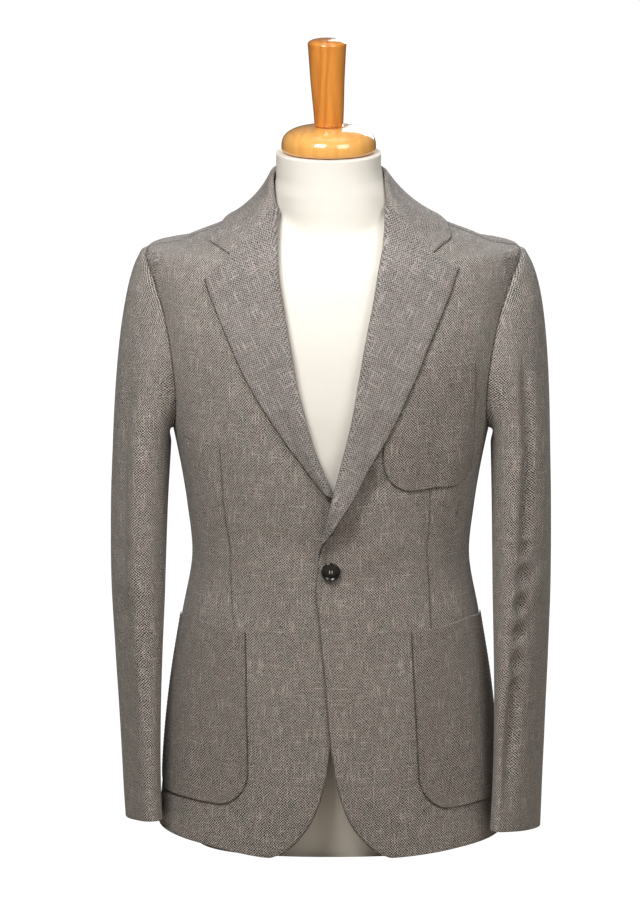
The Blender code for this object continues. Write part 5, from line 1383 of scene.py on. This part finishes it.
def wool_finish(kind, light, dark, figure, yarn, slubs, mottling, bump, line, pulled_in=0.0):
    """One of the jacket's wool finishes, on the cloth's own places in metres.

    line is how dark and how wide the line along a dart, a seam or a turned edge is: a dark seam line at
    darts and seams, and painted shade along turned edges and under the left lapel. pulled_in is how far from
    it the cloth sinks towards it.
    """
    made, p = new_finish("birdseye wool " + kind)
    look = {
        "Cloth Place": p.node("ShaderNodeUVMap", uv_map="Cloth").outputs["UV"],
        "Light Yarn": light,
        "Dark Yarn": dark,
        "Figure Pitch": FIGURE_PITCH,
        "Figure Strength": figure,
        "Yarn Noise": yarn,
        "Slubs": slubs,
        "Mottling": mottling,
    }
    weave = p.node("ShaderNodeGroup", look, node_tree=WEAVE).outputs
    raised = p.bump(weave["Height"], bump, 0.0005)
    away = p.math("ABSOLUTE", p.node("ShaderNodeAttribute", attribute_name="seam").outputs["Fac"])
    # Darkens the colour near the line: a dark seam line at darts and seams, painted shade along turned edges
    # and under the left lapel.
    dark_line_and_painted_shade = p.between(away, line[1] * 0.4, line[1], line[0], 0.0)
    colour = p.blend(dark_line_and_painted_shade, weave["Colour"], (0.018, 0.015, 0.013, 1))
    if pulled_in:
        settled = p.bump(p.between(away, 0.0, pulled_in), 0.45, 0.0022)
        p.set(raised.inputs["Normal"], settled.outputs["Normal"])
    sheen = {"Specular IOR Level": 0.25, "Sheen Weight": 0.12, "Sheen Roughness": 0.5}
    p.finish(colour, weave["Roughness"], raised, sheen)
    return made


def horn_finish():
    """Dark polished horn with faint brown clouds and fine turning marks."""
    made, p = new_finish("polished dark horn")
    place = p.own_place()
    cloud = p.noise(p.stretched(place, 90.0, 90.0), 1.0, 4.0, 0.6)
    streak = p.noise(p.stretched(place, 420.0, 420.0, 60.0), 1.0)
    tone = p.sum(p.times(cloud, 0.7), p.times(streak, 0.3))
    colour = p.blend(p.between(tone, 0.35, 0.70), (0.0022, 0.0016, 0.0013, 1), (0.0095, 0.0060, 0.0045, 1))
    fine = p.noise(place, 2600.0, 2.0)
    coat = {"Coat Weight": 0.60, "Coat Roughness": 0.05}
    p.finish(colour, p.between(fine, 0.3, 0.7, 0.16, 0.26), p.bump(fine, 0.06, 0.0003), coat)
    return made


def thread_finish(name, dark, light):
    """Twisted sewing thread."""
    made, p = new_finish(name)
    twist = p.noise(p.own_place(), 3200.0, 1.0)
    colour = p.blend(p.between(twist, 0.35, 0.65), dark, light)
    p.finish(colour, p.between(twist, 0.3, 0.7, 0.55, 0.75), p.bump(twist, 0.5, 0.0002))
    return made


def turned_wood():
    """Wood grain round an upright axis: rings drawn out along the wood, fine pores and small dark knots."""
    p, given, out = group(
        "turned wood",
        (
            ("Place", "Vector", None),
            ("Light Wood", "Color", (0.93, 0.55, 0.19, 1)),
            ("Dark Wood", "Color", (0.62, 0.25, 0.06, 1)),
            ("Ring Width", "Float", 0.006),
            ("Figure", "Float", 0.5),
            ("Knots", "Float", 0.5),
        ),
        LOOK_OUTPUTS,
    )
    drawn = p.stretched(given["Place"], 1.0, 1.0, 0.16)
    flat = p.vector("MULTIPLY", p.wandering(drawn, 46.0, 2.0, 0.022), (1.0, 0.6, 0.0))
    radius = p.node("ShaderNodeVectorMath", {0: flat}, operation="LENGTH").outputs["Value"]
    rings = p.math("SINE", p.times(p.math("DIVIDE", radius, given["Ring Width"]), 2 * math.pi))
    rings = p.times(p.between(rings, -0.4, 1.0), given["Figure"])
    pores = p.noise(p.stretched(given["Place"], 1500.0, 1500.0, 60.0), 1.0, 2.0)
    fleck = p.noise(drawn, 210.0, 3.0, 0.6)
    knot = p.times(p.between(p.noise(given["Place"], 62.0, 1.0), 0.735, 0.80), given["Knots"])
    share = p.sum(rings, p.times(p.math("SUBTRACT", fleck, 0.45), 0.8))
    share = p.math("ADD", share, p.times(p.between(pores, 0.40, 0.66), 0.16), clamp=True)
    grain = p.blend(share, given["Light Wood"], given["Dark Wood"])
    p.set(out["Colour"], p.blend(knot, grain, (0.10, 0.030, 0.008, 1)))
    p.set(out["Height"], share)
    p.set(out["Roughness"], p.between(share, 0.0, 1.0, 0.22, 0.34))
    return p.tree


def wood_finish(name, light, dark, ring, figure, knots, centre):
    """Varnished wood whose rings run round an axis near centre."""
    made, p = new_finish(name)
    look = {
        "Place": p.vector("SUBTRACT", p.own_place(), centre),
        "Light Wood": light,
        "Dark Wood": dark,
        "Ring Width": ring,
        "Figure": figure,
        "Knots": knots,
    }
    wood = p.node("ShaderNodeGroup", look, node_tree=GRAIN).outputs
    coat = {"Coat Weight": 1.0, "Coat Roughness": 0.06}
    p.finish(wood["Colour"], wood["Roughness"], p.bump(wood["Height"], 0.05, 0.0003), coat)
    return made


def cotton_finish():
    """Cream stretch cotton in a plain weave."""
    made, p = new_finish("cream cotton")
    place = p.own_place()
    parts = p.node("ShaderNodeSeparateXYZ", {"Vector": place}).outputs
    ribs = [p.math("SINE", p.times(parts[k], 2 * math.pi / 0.0011)) for k in ("X", "Y", "Z")]
    weave = p.times(p.sum(ribs[0], ribs[1]), ribs[2])
    cloud = p.noise(place, 60.0, 3.0)
    tone = p.math("ADD", p.times(weave, 0.10), p.times(cloud, 0.7), clamp=True)
    colour = p.blend(tone, (0.79, 0.745, 0.665, 1), (0.85, 0.81, 0.735, 1))
    p.finish(colour, p.between(cloud, 0.3, 0.7, 0.70, 0.82), p.bump(weave, 0.12, 0.0002))
    return made


def floor_finish():
    """A plain pale studio floor that reads white to the camera."""
    made, p = new_finish("pale floor")
    nodes = p.tree.nodes
    soft = p.blend(p.noise(p.own_place(), 3.0, 2.0), (0.42, 0.37, 0.31, 1), (0.45, 0.40, 0.34, 1))
    p.finish(soft, 0.8)
    white = p.node("ShaderNodeEmission", {"Color": (1.0, 1.0, 1.0, 1), "Strength": 1.05}).outputs[0]
    seen = p.node("ShaderNodeLightPath").outputs["Is Camera Ray"]
    both = p.node("ShaderNodeMixShader", {0: seen, 1: nodes["Principled BSDF"].outputs[0], 2: white})
    p.set(nodes["Material Output"].inputs["Surface"], both.outputs[0])
    return made


WEAVE = birdseye_wool()
GRAIN = turned_wood()
FINISH = {
    # Its line darkens the darts and the armhole seams, and paints shade along the front's edge and under the
    # left lapel.
    "wool": wool_finish(
        "body",
        (0.510, 0.460, 0.412, 1),
        (0.022, 0.019, 0.016, 1),
        0.62, 0.54, 0.70, 0.24, 0.75, (0.52, 0.0015), pulled_in=0.007,
    ),
    # Painted shade: the lapel's wool is a darker copy of the body's, and its line darkens the facing along
    # the lapel's edge.
    "lapel": wool_finish(
        "lapel",
        (0.425, 0.387, 0.358, 1),
        (0.028, 0.024, 0.020, 1),
        0.33, 0.42, 0.70, 0.20, 0.36, (0.85, 0.0016),
    ),
    "collar": wool_finish(
        "collar",
        (0.440, 0.398, 0.364, 1),
        (0.028, 0.024, 0.020, 1),
        0.40, 0.46, 0.50, 0.20, 0.45, (0.0, 0.0010),
    ),
    # Painted shade: the pocket's wool is a darker copy of the body's, and its line darkens the pockets along
    # their sides and bottom.
    "pocket": wool_finish(
        "pocket",
        (0.470, 0.418, 0.370, 1),
        (0.020, 0.017, 0.014, 1),
        0.66, 0.56, 0.66, 0.22, 0.80, (0.70, 0.0022),
    ),
    "horn": horn_finish(),
    "thread": thread_finish("sewing thread", (0.050, 0.041, 0.034, 1), (0.16, 0.135, 0.115, 1)),
    "button thread": thread_finish("button thread", (0.42, 0.38, 0.33, 1), (0.74, 0.69, 0.62, 1)),
    "form": cotton_finish(),
    "cap": wood_finish(
        "honey wood cap",
        (0.86, 0.44, 0.115, 1),
        (0.74, 0.31, 0.060, 1),
        0.012, 0.35, 0.2, (0.02, -0.03, 0.79),
    ),
    "handle": wood_finish(
        "honey wood handle",
        (0.72, 0.275, 0.046, 1),
        (0.50, 0.150, 0.020, 1),
        0.0090, 0.55, 0.8, (0.006, 0.0, 0.86),
    ),
}

# ---------------------------------------------------------------- the cloth pieces
# Each piece's object and the grid of its middle points, by node.
PIECES = {}
for side, word in ((1, "left"), (-1, "right")):
    PIECES.update(front(side, word))
    PIECES.update(panel("side_" + word, side_places(word), side, from_behind=False))
    PIECES.update(panel("back_" + word, back_places(word), side, from_behind=True))
    PIECES.update(sleeve(side, word))
PIECES.update(collar())
for node, size in POCKETS.items():
    PIECES.update(pocket(node, size))


# ---------------------------------------------------------------- stitches
def stitch_tree():
    """Small stitches set along a line, each lying on the cloth and a little sunk into it."""
    p, given, out = group(
        "row of stitches",
        (
            ("Geometry", "Geometry", None),
            ("Spacing", "Float", 0.0050),
            ("Stitch Length", "Float", 0.0022),
            ("Stitch Width", "Float", 0.0005),
            ("Crosswise", "Float", 0.0),
            ("Finish", "Material", None),
        ),
        (("Geometry", "Geometry"),),
        "GeometryNodeTree",
    )
    line = p.node("GeometryNodeMeshToCurve", {"Mesh": given["Geometry"]}).outputs[0]
    spaced = p.node("GeometryNodeResampleCurve", {"Curve": line, "Length": given["Spacing"]}, mode="LENGTH")
    bead = p.node("GeometryNodeMeshUVSphere", {"Segments": 6, "Rings": 5, "Radius": 0.5}).outputs["Mesh"]
    wide = given["Stitch Width"]
    shape = p.node("ShaderNodeCombineXYZ", {"X": given["Stitch Length"], "Y": wide, "Z": wide}).outputs[0]
    bead = p.node("GeometryNodeTransform", {"Geometry": bead, "Scale": shape}).outputs[0]
    tangent = p.node("GeometryNodeInputTangent").outputs[0]
    named = {"Name": "cloth_up"}
    up = p.node("GeometryNodeInputNamedAttribute", named, data_type="FLOAT_VECTOR").outputs[0]
    side_way = p.vector("CROSS_PRODUCT", tangent, up)
    ways = {"Factor": given["Crosswise"], 4: tangent, 5: side_way}
    way = p.node("ShaderNodeMix", ways, data_type="VECTOR").outputs[1]
    turned = p.node("FunctionNodeAlignRotationToVector", {"Vector": up}, axis="Z").outputs[0]
    turn = {"Rotation": turned, "Vector": way}
    turned = p.node("FunctionNodeAlignRotationToVector", turn, axis="X", pivot_axis="Z").outputs[0]
    beads = {"Points": spaced.outputs[0], "Instance": bead, "Rotation": turned}
    rows = p.node("GeometryNodeInstanceOnPoints", beads).outputs[0]
    real = p.node("GeometryNodeRealizeInstances", {"Geometry": rows}).outputs[0]
    done = p.node("GeometryNodeSetMaterial", {"Geometry": real, "Material": given["Finish"]}).outputs[0]
    p.set(out[0], done)
    return p.tree


STITCHES = stitch_tree()


def solved_mesh(thing):
    """A new mesh of the object as its modifiers make it."""
    return bpy.data.meshes.new_from_object(thing.evaluated_get(bpy.context.evaluated_depsgraph_get()))


def stitched(name, lines, spacing, length, width, crosswise=0.0):
    """Rows of stitches along several lines of (points, directions off the cloth), as one object."""
    points, ups = (np.concatenate(field) for field in zip(*lines))
    starts = np.cumsum([0] + [len(line) for line, _ in lines])
    edges = [(k, k + 1) for a, b in zip(starts[:-1].tolist(), starts[1:].tolist()) for k in range(a, b - 1)]
    mesh = bpy.data.meshes.new(name + " line")
    mesh.from_pydata(leaned(points).tolist(), edges, [])
    layer = mesh.attributes.new("cloth_up", "FLOAT_VECTOR", "POINT")
    layer.data.foreach_set("vector", ups.astype(np.float32).ravel())
    guide = bpy.data.objects.new(name + "_guide", mesh)
    bpy.context.scene.collection.objects.link(guide)
    rule = guide.modifiers.new("stitches", "NODES")
    rule.node_group = STITCHES
    values = {"Spacing": spacing, "Stitch Length": length, "Stitch Width": width, "Crosswise": crosswise}
    values["Finish"] = FINISH["thread"]
    for item in STITCHES.interface.items_tree:
        if item.in_out == "INPUT" and item.name in values:
            rule[item.identifier] = values[item.name]
    made = solved_mesh(guide)
    made.name = name
    made.shade_smooth()
    thing = bpy.data.objects.new(name, made)
    bpy.context.scene.collection.objects.link(thing)
    bpy.data.objects.remove(guide, do_unlink=True)
    bpy.data.meshes.remove(mesh)
    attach(thing, "root")


PICKED_IN, POCKET_SEWN_IN, MOUTH_SEWN_IN = 0.0055, 0.0026, 0.0180  # from the edge to the stitches
STITCH_LIFT = 0.00002  # of a stitch's middle over the cloth's face


def line_in_from(grid, inset, thick, edge, start, stop):
    """A line this far in from one edge of a grid, on its outer face. edge is a (axis, end) pair."""
    axis, end = edge
    lines, ups = np.swapaxes(grid, 0, axis), np.swapaxes(outward(grid), 0, axis)
    if end < 0:
        lines, ups = lines[::-1], ups[::-1]
    walked = lengths(lines, 0)
    spots, facings = (
        np.array([[np.interp(inset, walked[:, k], field[:, k, c]) for c in range(3)] for k in columns])
        for field, columns in ((f, range(lines.shape[1])[start:stop]) for f in (lines, ups))
    )
    facings = unit(facings)
    return spots + facings * (thick / 2 + STITCH_LIFT), facings


def pick_stitching():
    rows = []
    for word in ("left", "right"):
        grid, face = PIECES["front_" + word][1], PIECES["facing_" + word][1]
        rows.append(line_in_from(grid, PICKED_IN, CLOTH, (1, 0), 2, EDGE_ROWS - 1))
        rows.append(line_in_from(grid, PICKED_IN, CLOTH, (0, 0), 2, 14))
        rows.append(line_in_from(face, PICKED_IN, FACING, (1, -1), 14, -2))
        top = face[:, ARC_COLUMNS + GORGE_COLUMNS :]
        rows.append(line_in_from(top, PICKED_IN, FACING, (0, -1), 1, -2))
    leaf = PIECES["collar"][1][:, STAND_COLUMNS + ARC_COLUMNS :]
    rows.append(line_in_from(leaf, PICKED_IN, COLLAR_CLOTH, (1, -1), 3, -3))
    stitched("pick_stitches", rows, 0.0048, 0.0020, 0.00042)


def pocket_stitching():
    rows = []
    for name in POCKETS:
        grid = PIECES[name][1]
        for edge in ((1, 0), (1, -1), (0, -1)):
            rows.append(line_in_from(grid, POCKET_SEWN_IN, POCKET_CLOTH, edge, 1, -1))
        rows.append(line_in_from(grid, MOUTH_SEWN_IN, POCKET_CLOTH, (0, 0), 1, -1))
    stitched("pocket_stitches", rows, 0.0046, 0.0020, 0.00038)


def dart_stitching():
    rows = []
    for side, word in ((1, "left"), (-1, "right")):
        line = path_on_front([(x * side, z) for x, z in DARTS[word]])
        up = outward(line)
        rows.append((in_wear(line) + up * 0.00004, up))
    stitched("dart_stitches", rows, 0.0044, 0.0026, 0.00036)


def buttonhole():
    """The near end of the buttonhole, worked in close loops, which shows beside the button."""
    rows = []
    for lift in (-1, 1):
        x = np.linspace(0.0125, -0.0090, 30)
        base = front_point(np.stack([x, BUTTON_HEIGHT + 0.0004 + lift * 0.00085 + 0 * x], axis=-1))
        up = outward(base)
        base = in_wear(base) + up * (overlap_lift(base, 1)[:, None] + 0.0001)
        rows.append((base, up))
    stitched("buttonhole_loops", rows, 0.00060, 0.0017, 0.00052, crosswise=1.0)


for sew in (pick_stitching, pocket_stitching, dart_stitching, buttonhole):
    sew()


# ---------------------------------------------------------------- button
def turned_out(thing):
    """Turns the faces of a closed piece outwards and makes the rims of its flat ends sharp."""
    work = bmesh.new()
    work.from_mesh(thing.data)
    bmesh.ops.recalc_face_normals(work, faces=work.faces)
    if work.calc_volume(signed=True) < 0:
        bmesh.ops.reverse_faces(work, faces=work.faces)
    for edge in work.edges:
        if any(len(face.verts) > 4 for face in edge.link_faces):
            edge.smooth = False
    work.to_mesh(thing.data)
    work.free()


def turned_mesh(name, profile, sides, centre, finish, forward=False):
    """A smooth turned solid from a closed (radius, height) profile that starts and ends on its axis."""
    angles = np.linspace(0, 2 * math.pi, sides, endpoint=False)
    points, rings, faces = [], [], []
    for radius, height in profile:
        if radius < 1e-7:
            rings.append([len(points)])
            points.append((0.0, 0.0, height))
        else:
            rings.append(list(range(len(points), len(points) + sides)))
            points += [(radius * math.cos(a), radius * math.sin(a), height) for a in angles]
    for a, b in zip(rings, rings[1:]):
        for i in range(sides):
            j = (i + 1) % sides
            corners = [a[i % len(a)], a[j % len(a)], b[j % len(b)], b[i % len(b)]]
            faces.append([c for k, c in enumerate(corners) if c not in corners[:k]])
    points = np.array(points)
    if forward:
        points = np.stack([points[:, 0], -points[:, 2], points[:, 1]], axis=-1)
    thing = mesh_piece(name, points + np.array(centre), faces, finish)
    turned_out(thing)
    return thing


def turned_line(keys, count, wide=1.0, tall=1.0):
    line = along([(x * wide, y * tall) for x, y in keys], np.linspace(0, 1, count))
    return [tuple(p) for p in line]


def tube_faces(rings, sides):
    """The faces of a tube of this many rings of points, closed at both ends."""
    faces = []
    for i in range(rings - 1):
        for j in range(sides):
            k = (j + 1) % sides
            faces.append([i * sides + j, i * sides + k, (i + 1) * sides + k, (i + 1) * sides + j])
    return faces + [list(range(sides))[::-1], list(range((rings - 1) * sides, rings * sides))]


HOLE_SPREAD, HOLE_RADIUS = 0.00135, 0.00075
DISH = 0.52  # height of the button's sunk middle, as a share of its thickness
# The button's profile in shares of its radius and its thickness.
BUTTON_BACK = ((0.62, 0.0), (0.90, 0.22), (1.0, 0.55))
BUTTON_RIM = ((1.0, 0.55), (0.985, 0.80), (0.93, 0.96), (0.85, 1.0), (0.77, 0.90))
BUTTON_DISH = ((0.77, 0.90), (0.69, 0.66), (0.60, 0.56), (0.30, DISH))
STRAND, SHANK_STRAND, SHANK = 0.00021, 0.00028, 0.0016  # radii of the thread and of its shank


def horn_button():
    """The button with its four holes, and the lines and radii of its thread."""
    seat = front_point(np.array([0.0, BUTTON_HEIGHT]))
    depth_here = seat[1] - float(overlap_lift(seat, 1)) - 0.0013
    size = BUTTON_RADIUS, BUTTON_THICK
    profile = [(0.0, 0.0), (0.60 * size[0], 0.0)]
    for keys, count in ((BUTTON_BACK, 10), (BUTTON_RIM, 14), (BUTTON_DISH, 14)):
        profile += turned_line(keys, count, *size)[1:]
    profile.append((0.0, DISH * size[1]))
    centre = (0.0, depth_here, BUTTON_HEIGHT)
    disc = turned_mesh("horn_button", profile, 72, centre, FINISH["horn"], forward=True)
    lean = leaned(np.array([centre]))[0]
    for sx in (-1, 1):
        for sz in (-1, 1):
            place = (lean[0] + sx * HOLE_SPREAD, depth_here, BUTTON_HEIGHT + sz * HOLE_SPREAD)
            bpy.ops.mesh.primitive_cylinder_add(
                vertices=20, radius=HOLE_RADIUS, depth=0.02, location=place, rotation=(math.pi / 2, 0, 0)
            )
            drill = bpy.context.object
            cut = disc.modifiers.new("hole", "BOOLEAN")
            cut.object, cut.solver, cut.operation = drill, "EXACT", "DIFFERENCE"
            drilled = solved_mesh(disc)
            disc.modifiers.clear()
            disc.data = drilled
            bpy.data.objects.remove(drill, do_unlink=True)
    disc.data.shade_smooth()
    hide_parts("button")
    strands = []
    face = depth_here - DISH * size[1] - 0.00005
    u = np.linspace(-1, 1, 13)
    for sx in (-1, 1):
        for lay in (-1, 0, 1):
            x = sx * HOLE_SPREAD + lay * 0.00030 + 0 * u
            y = face - 0.00055 * np.maximum(1 - u**4, 0) + SHANK * np.maximum(np.abs(u) - 0.93, 0) / 0.07
            z = BUTTON_HEIGHT + u * (HOLE_SPREAD + 0.0002)
            strands.append((np.stack([x, y, z], axis=-1), STRAND))
    a = np.linspace(0, 2 * math.pi, 25)
    for height in np.linspace(0, 1, 4):
        y = depth_here + 0.0012 - 0.0008 * height + 0 * a
        ring = np.stack([SHANK * np.cos(a), y, BUTTON_HEIGHT + SHANK * np.sin(a)], axis=-1)
        strands.append((ring, SHANK_STRAND))
    return strands


def cord_tube(line, radius, sides=8):
    """A thin round thread along a line, closed at both ends."""
    tangent = unit(np.gradient(line, axis=0))
    first = unit(np.cross(tangent, np.where(np.abs(tangent[:, :1]) < 0.9, [[1.0, 0, 0]], [[0, 0, 1.0]])))
    second = np.cross(tangent, first)
    a = np.linspace(0, 2 * math.pi, sides, endpoint=False)
    ring = first[:, None] * np.cos(a)[None, :, None] + second[:, None] * np.sin(a)[None, :, None]
    return (line[:, None] + ring * radius).reshape(-1, 3), tube_faces(len(line), sides)


def button_thread(strands):
    points, faces, count = [], [], 0
    for line, radius in strands:
        p, f = cord_tube(line, radius)
        points.append(p)
        faces += [[i + count for i in face] for face in f]
        count += len(p)
    mesh_piece("button_thread", np.concatenate(points), faces, FINISH["button thread"])


button_thread(horn_button())


# ---------------------------------------------------------------- dress form, neck cap and handle
def under_neck(ring, height):
    """The ring, brought forward under the neck so that the throat runs down into the chest."""
    fronts = np.array(NECK_FRONT)
    reach = smooth(fronts[:, 0], fronts[:, 1], height)
    across = np.clip(np.abs(ring[:, 0]) / NECK[0][1], 0, 1)
    throat = NECK_MIDDLE - reach * np.sqrt(1 - across**2)
    chest = ring[:, 1]
    nearer = (chest + throat - np.sqrt((chest - throat) ** 2 + NECK_BLEND**2)) / 2
    ahead = ramp(height, *THROAT_FROM) * ramp(across, 1.0, 0.9) * (chest < 0)
    ring = ring.copy()
    ring[:, 1] = chest + (nearer - chest) * ahead
    return ring


def form_torso():
    """A smooth limbless body with a flat base and a neck, clear of the cloth but at the shoulders."""
    turns = np.linspace(0, 360, FORM_COLUMNS, endpoint=False)
    half = np.where(turns > 180, 360 - turns, turns)
    sign = np.where(turns > 180, -1.0, 1.0)
    ease = np.array(FORM_EASE)
    keys = np.array(FORM_HEIGHTS)
    heights = np.interp(np.linspace(0, len(keys) - 1, 4 * (len(keys) - 1) + 1), np.arange(len(keys)), keys)
    rings = []
    for height in heights:
        base = surface(half, np.full(len(half), height))
        out = outward(base)
        if height < 0.30:
            out = unit(out * np.array([1, 1, 0]))
        bearing = ramp(half, *BEARING_FROM) * ramp(half, *BEARING_TO)
        bearing = bearing * ramp(height, *BEARING_LOW) * ramp(height, *BEARING_HIGH)
        gap = smooth(ease[:, 0], ease[:, 1], height)
        gap = gap + (FORM_BEARING - gap) * bearing
        ring = (base - out * gap[:, None]) * np.stack([sign, 1 + 0 * sign, 1 + 0 * sign], axis=-1)
        rings.append(under_neck(ring, height))
    angle = np.radians(turns)
    neck = np.array(NECK)
    top = rings[-1]
    for height in np.linspace(heights[-1], neck[-1, 0], 22)[1:]:
        share = ramp(height, heights[-1], neck[0, 0])
        wide, deep = (np.interp(height, neck[:, 0], neck[:, k]) for k in (1, 2))
        y = NECK_MIDDLE - deep * np.cos(angle)
        ring = np.stack([wide * np.sin(angle), y, height + 0 * angle], axis=-1)
        lower = top + (0, 0, height - heights[-1])
        rings.append(lower * (1 - share) + ring * share)
    for inset, drop in ((0.0010, -0.0001), (0.0030, 0.0)):
        rings.append(rings[-1] * (1 - inset * 6, 1, 1) + (0, 0, drop))
    faces = tube_faces(len(rings), FORM_COLUMNS)
    thing = mesh_piece("cotton_form", np.concatenate(rings), faces, FINISH["form"])
    turned_out(thing)
    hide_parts("form_torso")


def neck_cap_and_handle():
    r, h, lip = CAP_RADIUS, CAP_HEIGHT, CAP_LIP
    dome = [
        (r * math.cos(a) ** CAP_ROUNDNESS, h * (lip + (1 - lip) * math.sin(a) ** CAP_ROUNDNESS))
        for a in np.radians(np.linspace(0, 74, 30))
    ]
    low = ((0.88 * r, 0.0), (0.965 * r, 0.25 * lip * h), (0.992 * r, 0.6 * lip * h), dome[0])
    low = turned_line(low, 10)
    profile = [(0.0, 0.0), (0.85 * r, 0.0)] + low[:-1] + dome + [(0.0, dome[-1][1])]
    cap = turned_mesh("wood_cap", profile, 96, (0.0, NECK_MIDDLE, CAP_BOTTOM), FINISH["cap"])
    foot = CAP_BOTTOM + dome[-1][1] + 0.0003
    a, b, length = HANDLE_LOW_RADIUS, HANDLE_HIGH_RADIUS, HANDLE_LENGTH
    stem = turned_line(((a, 0.0), ((a + b) / 2, length * 0.5), (b * 0.985, length * 0.95)), 26)
    top = [
        (b * math.cos(t) ** 0.7, length + HANDLE_DOME * math.sin(t))
        for t in np.radians(np.linspace(0, 86, 18))
    ]
    chamfer = turned_line((stem[-1], (b * 0.998, length * 0.975), top[0]), 6)[1:-1]
    profile = [(0.0, 0.0)] + stem + chamfer + top + [(0.0, length + HANDLE_DOME)]
    handle = turned_mesh("wood_handle", profile, 80, (0.0, NECK_MIDDLE, foot), FINISH["handle"])
    for thing, node in ((cap, "neck_cap"), (handle, "cap_handle")):
        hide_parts(node)


form_torso()
neck_cap_and_handle()

# ---------------------------------------------------------------- the cut of each piece
def cut_of(name):
    """Width and length that the piece covers when it is laid flat, and the area of its outline."""
    grid = PIECES[name][1]
    wide, long = lengths(grid, 1)[:, -1].max(), lengths(grid, 0)[-1].max()
    a, b = grid[1:, :-1] - grid[:-1, 1:], grid[:-1, :-1] - grid[1:, 1:]
    area = float(np.linalg.norm(np.cross(a, b), axis=-1).sum() / 2)
    if name.startswith("front_"):
        lapel = cut_of("facing_" + name[6:])
        wide, area = wide + lapel[0], area + lapel[2]
    return wide, long, area


for name, (thing, _) in PIECES.items():
    wide, long, area = cut_of(name)

# ---------------------------------------------------------------- floor, lights and camera
FLOOR_RADIUS, FLOOR_DROP = 40.0, 0.0005
bpy.ops.mesh.primitive_circle_add(
    vertices=96, radius=FLOOR_RADIUS, fill_type="NGON", location=(0, 0, -FLOOR_DROP)
)
floor = bpy.context.object
floor.name = "studio_floor"
floor.data.materials.append(floor_finish())


def soft_light(name, place, aim, size, power, colour=(1.0, 1.0, 1.0)):
    data = bpy.data.lights.new(name, "AREA")
    data.shape, data.size, data.size_y, data.energy = "RECTANGLE", size[0], size[1], power
    data.color = colour
    lamp = bpy.data.objects.new(name, data)
    bpy.context.scene.collection.objects.link(lamp)
    lamp.location = place
    lamp.rotation_euler = (Vector(aim) - Vector(place)).to_track_quat("-Z", "Y").to_euler()


soft_light("key light", (-0.50, -1.10, 1.72), (0.0, 0.0, 0.60), (0.6, 0.6), 25.5)
soft_light("second light", (0.95, -1.20, 1.65), (0.0, 0.0, 0.55), (0.9, 0.9), 15.0)
soft_light("top light", (0.10, 0.20, 2.20), (0.0, 0.0, 0.60), (1.2, 0.8), 3.5, (0.86, 0.93, 1.0))
soft_light("back light", (0.50, 1.80, 1.30), (0.0, 0.0, 0.50), (0.9, 0.9), 16.0)

world = bpy.data.worlds.new("soft studio")
bpy.context.scene.world = world
world.use_nodes = True
sky = world.node_tree.nodes["Background"].inputs
sky["Color"].default_value, sky["Strength"].default_value = (1.0, 1.0, 1.0, 1), 0.105

VIEW_RISE, VIEW_DISTANCE, FRAME_TALL = math.radians(12.5), 8.0, 1.007
AIM = Vector((-0.0117, 0.0, 0.44))
lens = bpy.data.cameras.new("camera")
lens.sensor_fit, lens.sensor_width = "AUTO", 36.0
lens.lens = VIEW_DISTANCE * lens.sensor_width / FRAME_TALL
camera = bpy.data.objects.new("camera", lens)
bpy.context.scene.collection.objects.link(camera)
camera.location = AIM + Vector((0.0, -math.cos(VIEW_RISE), math.sin(VIEW_RISE))) * VIEW_DISTANCE
camera.rotation_euler = (math.pi / 2 - VIEW_RISE, 0.0, 0.0)
bpy.context.scene.camera = camera
bpy.context.scene.view_settings.view_transform = "Standard"
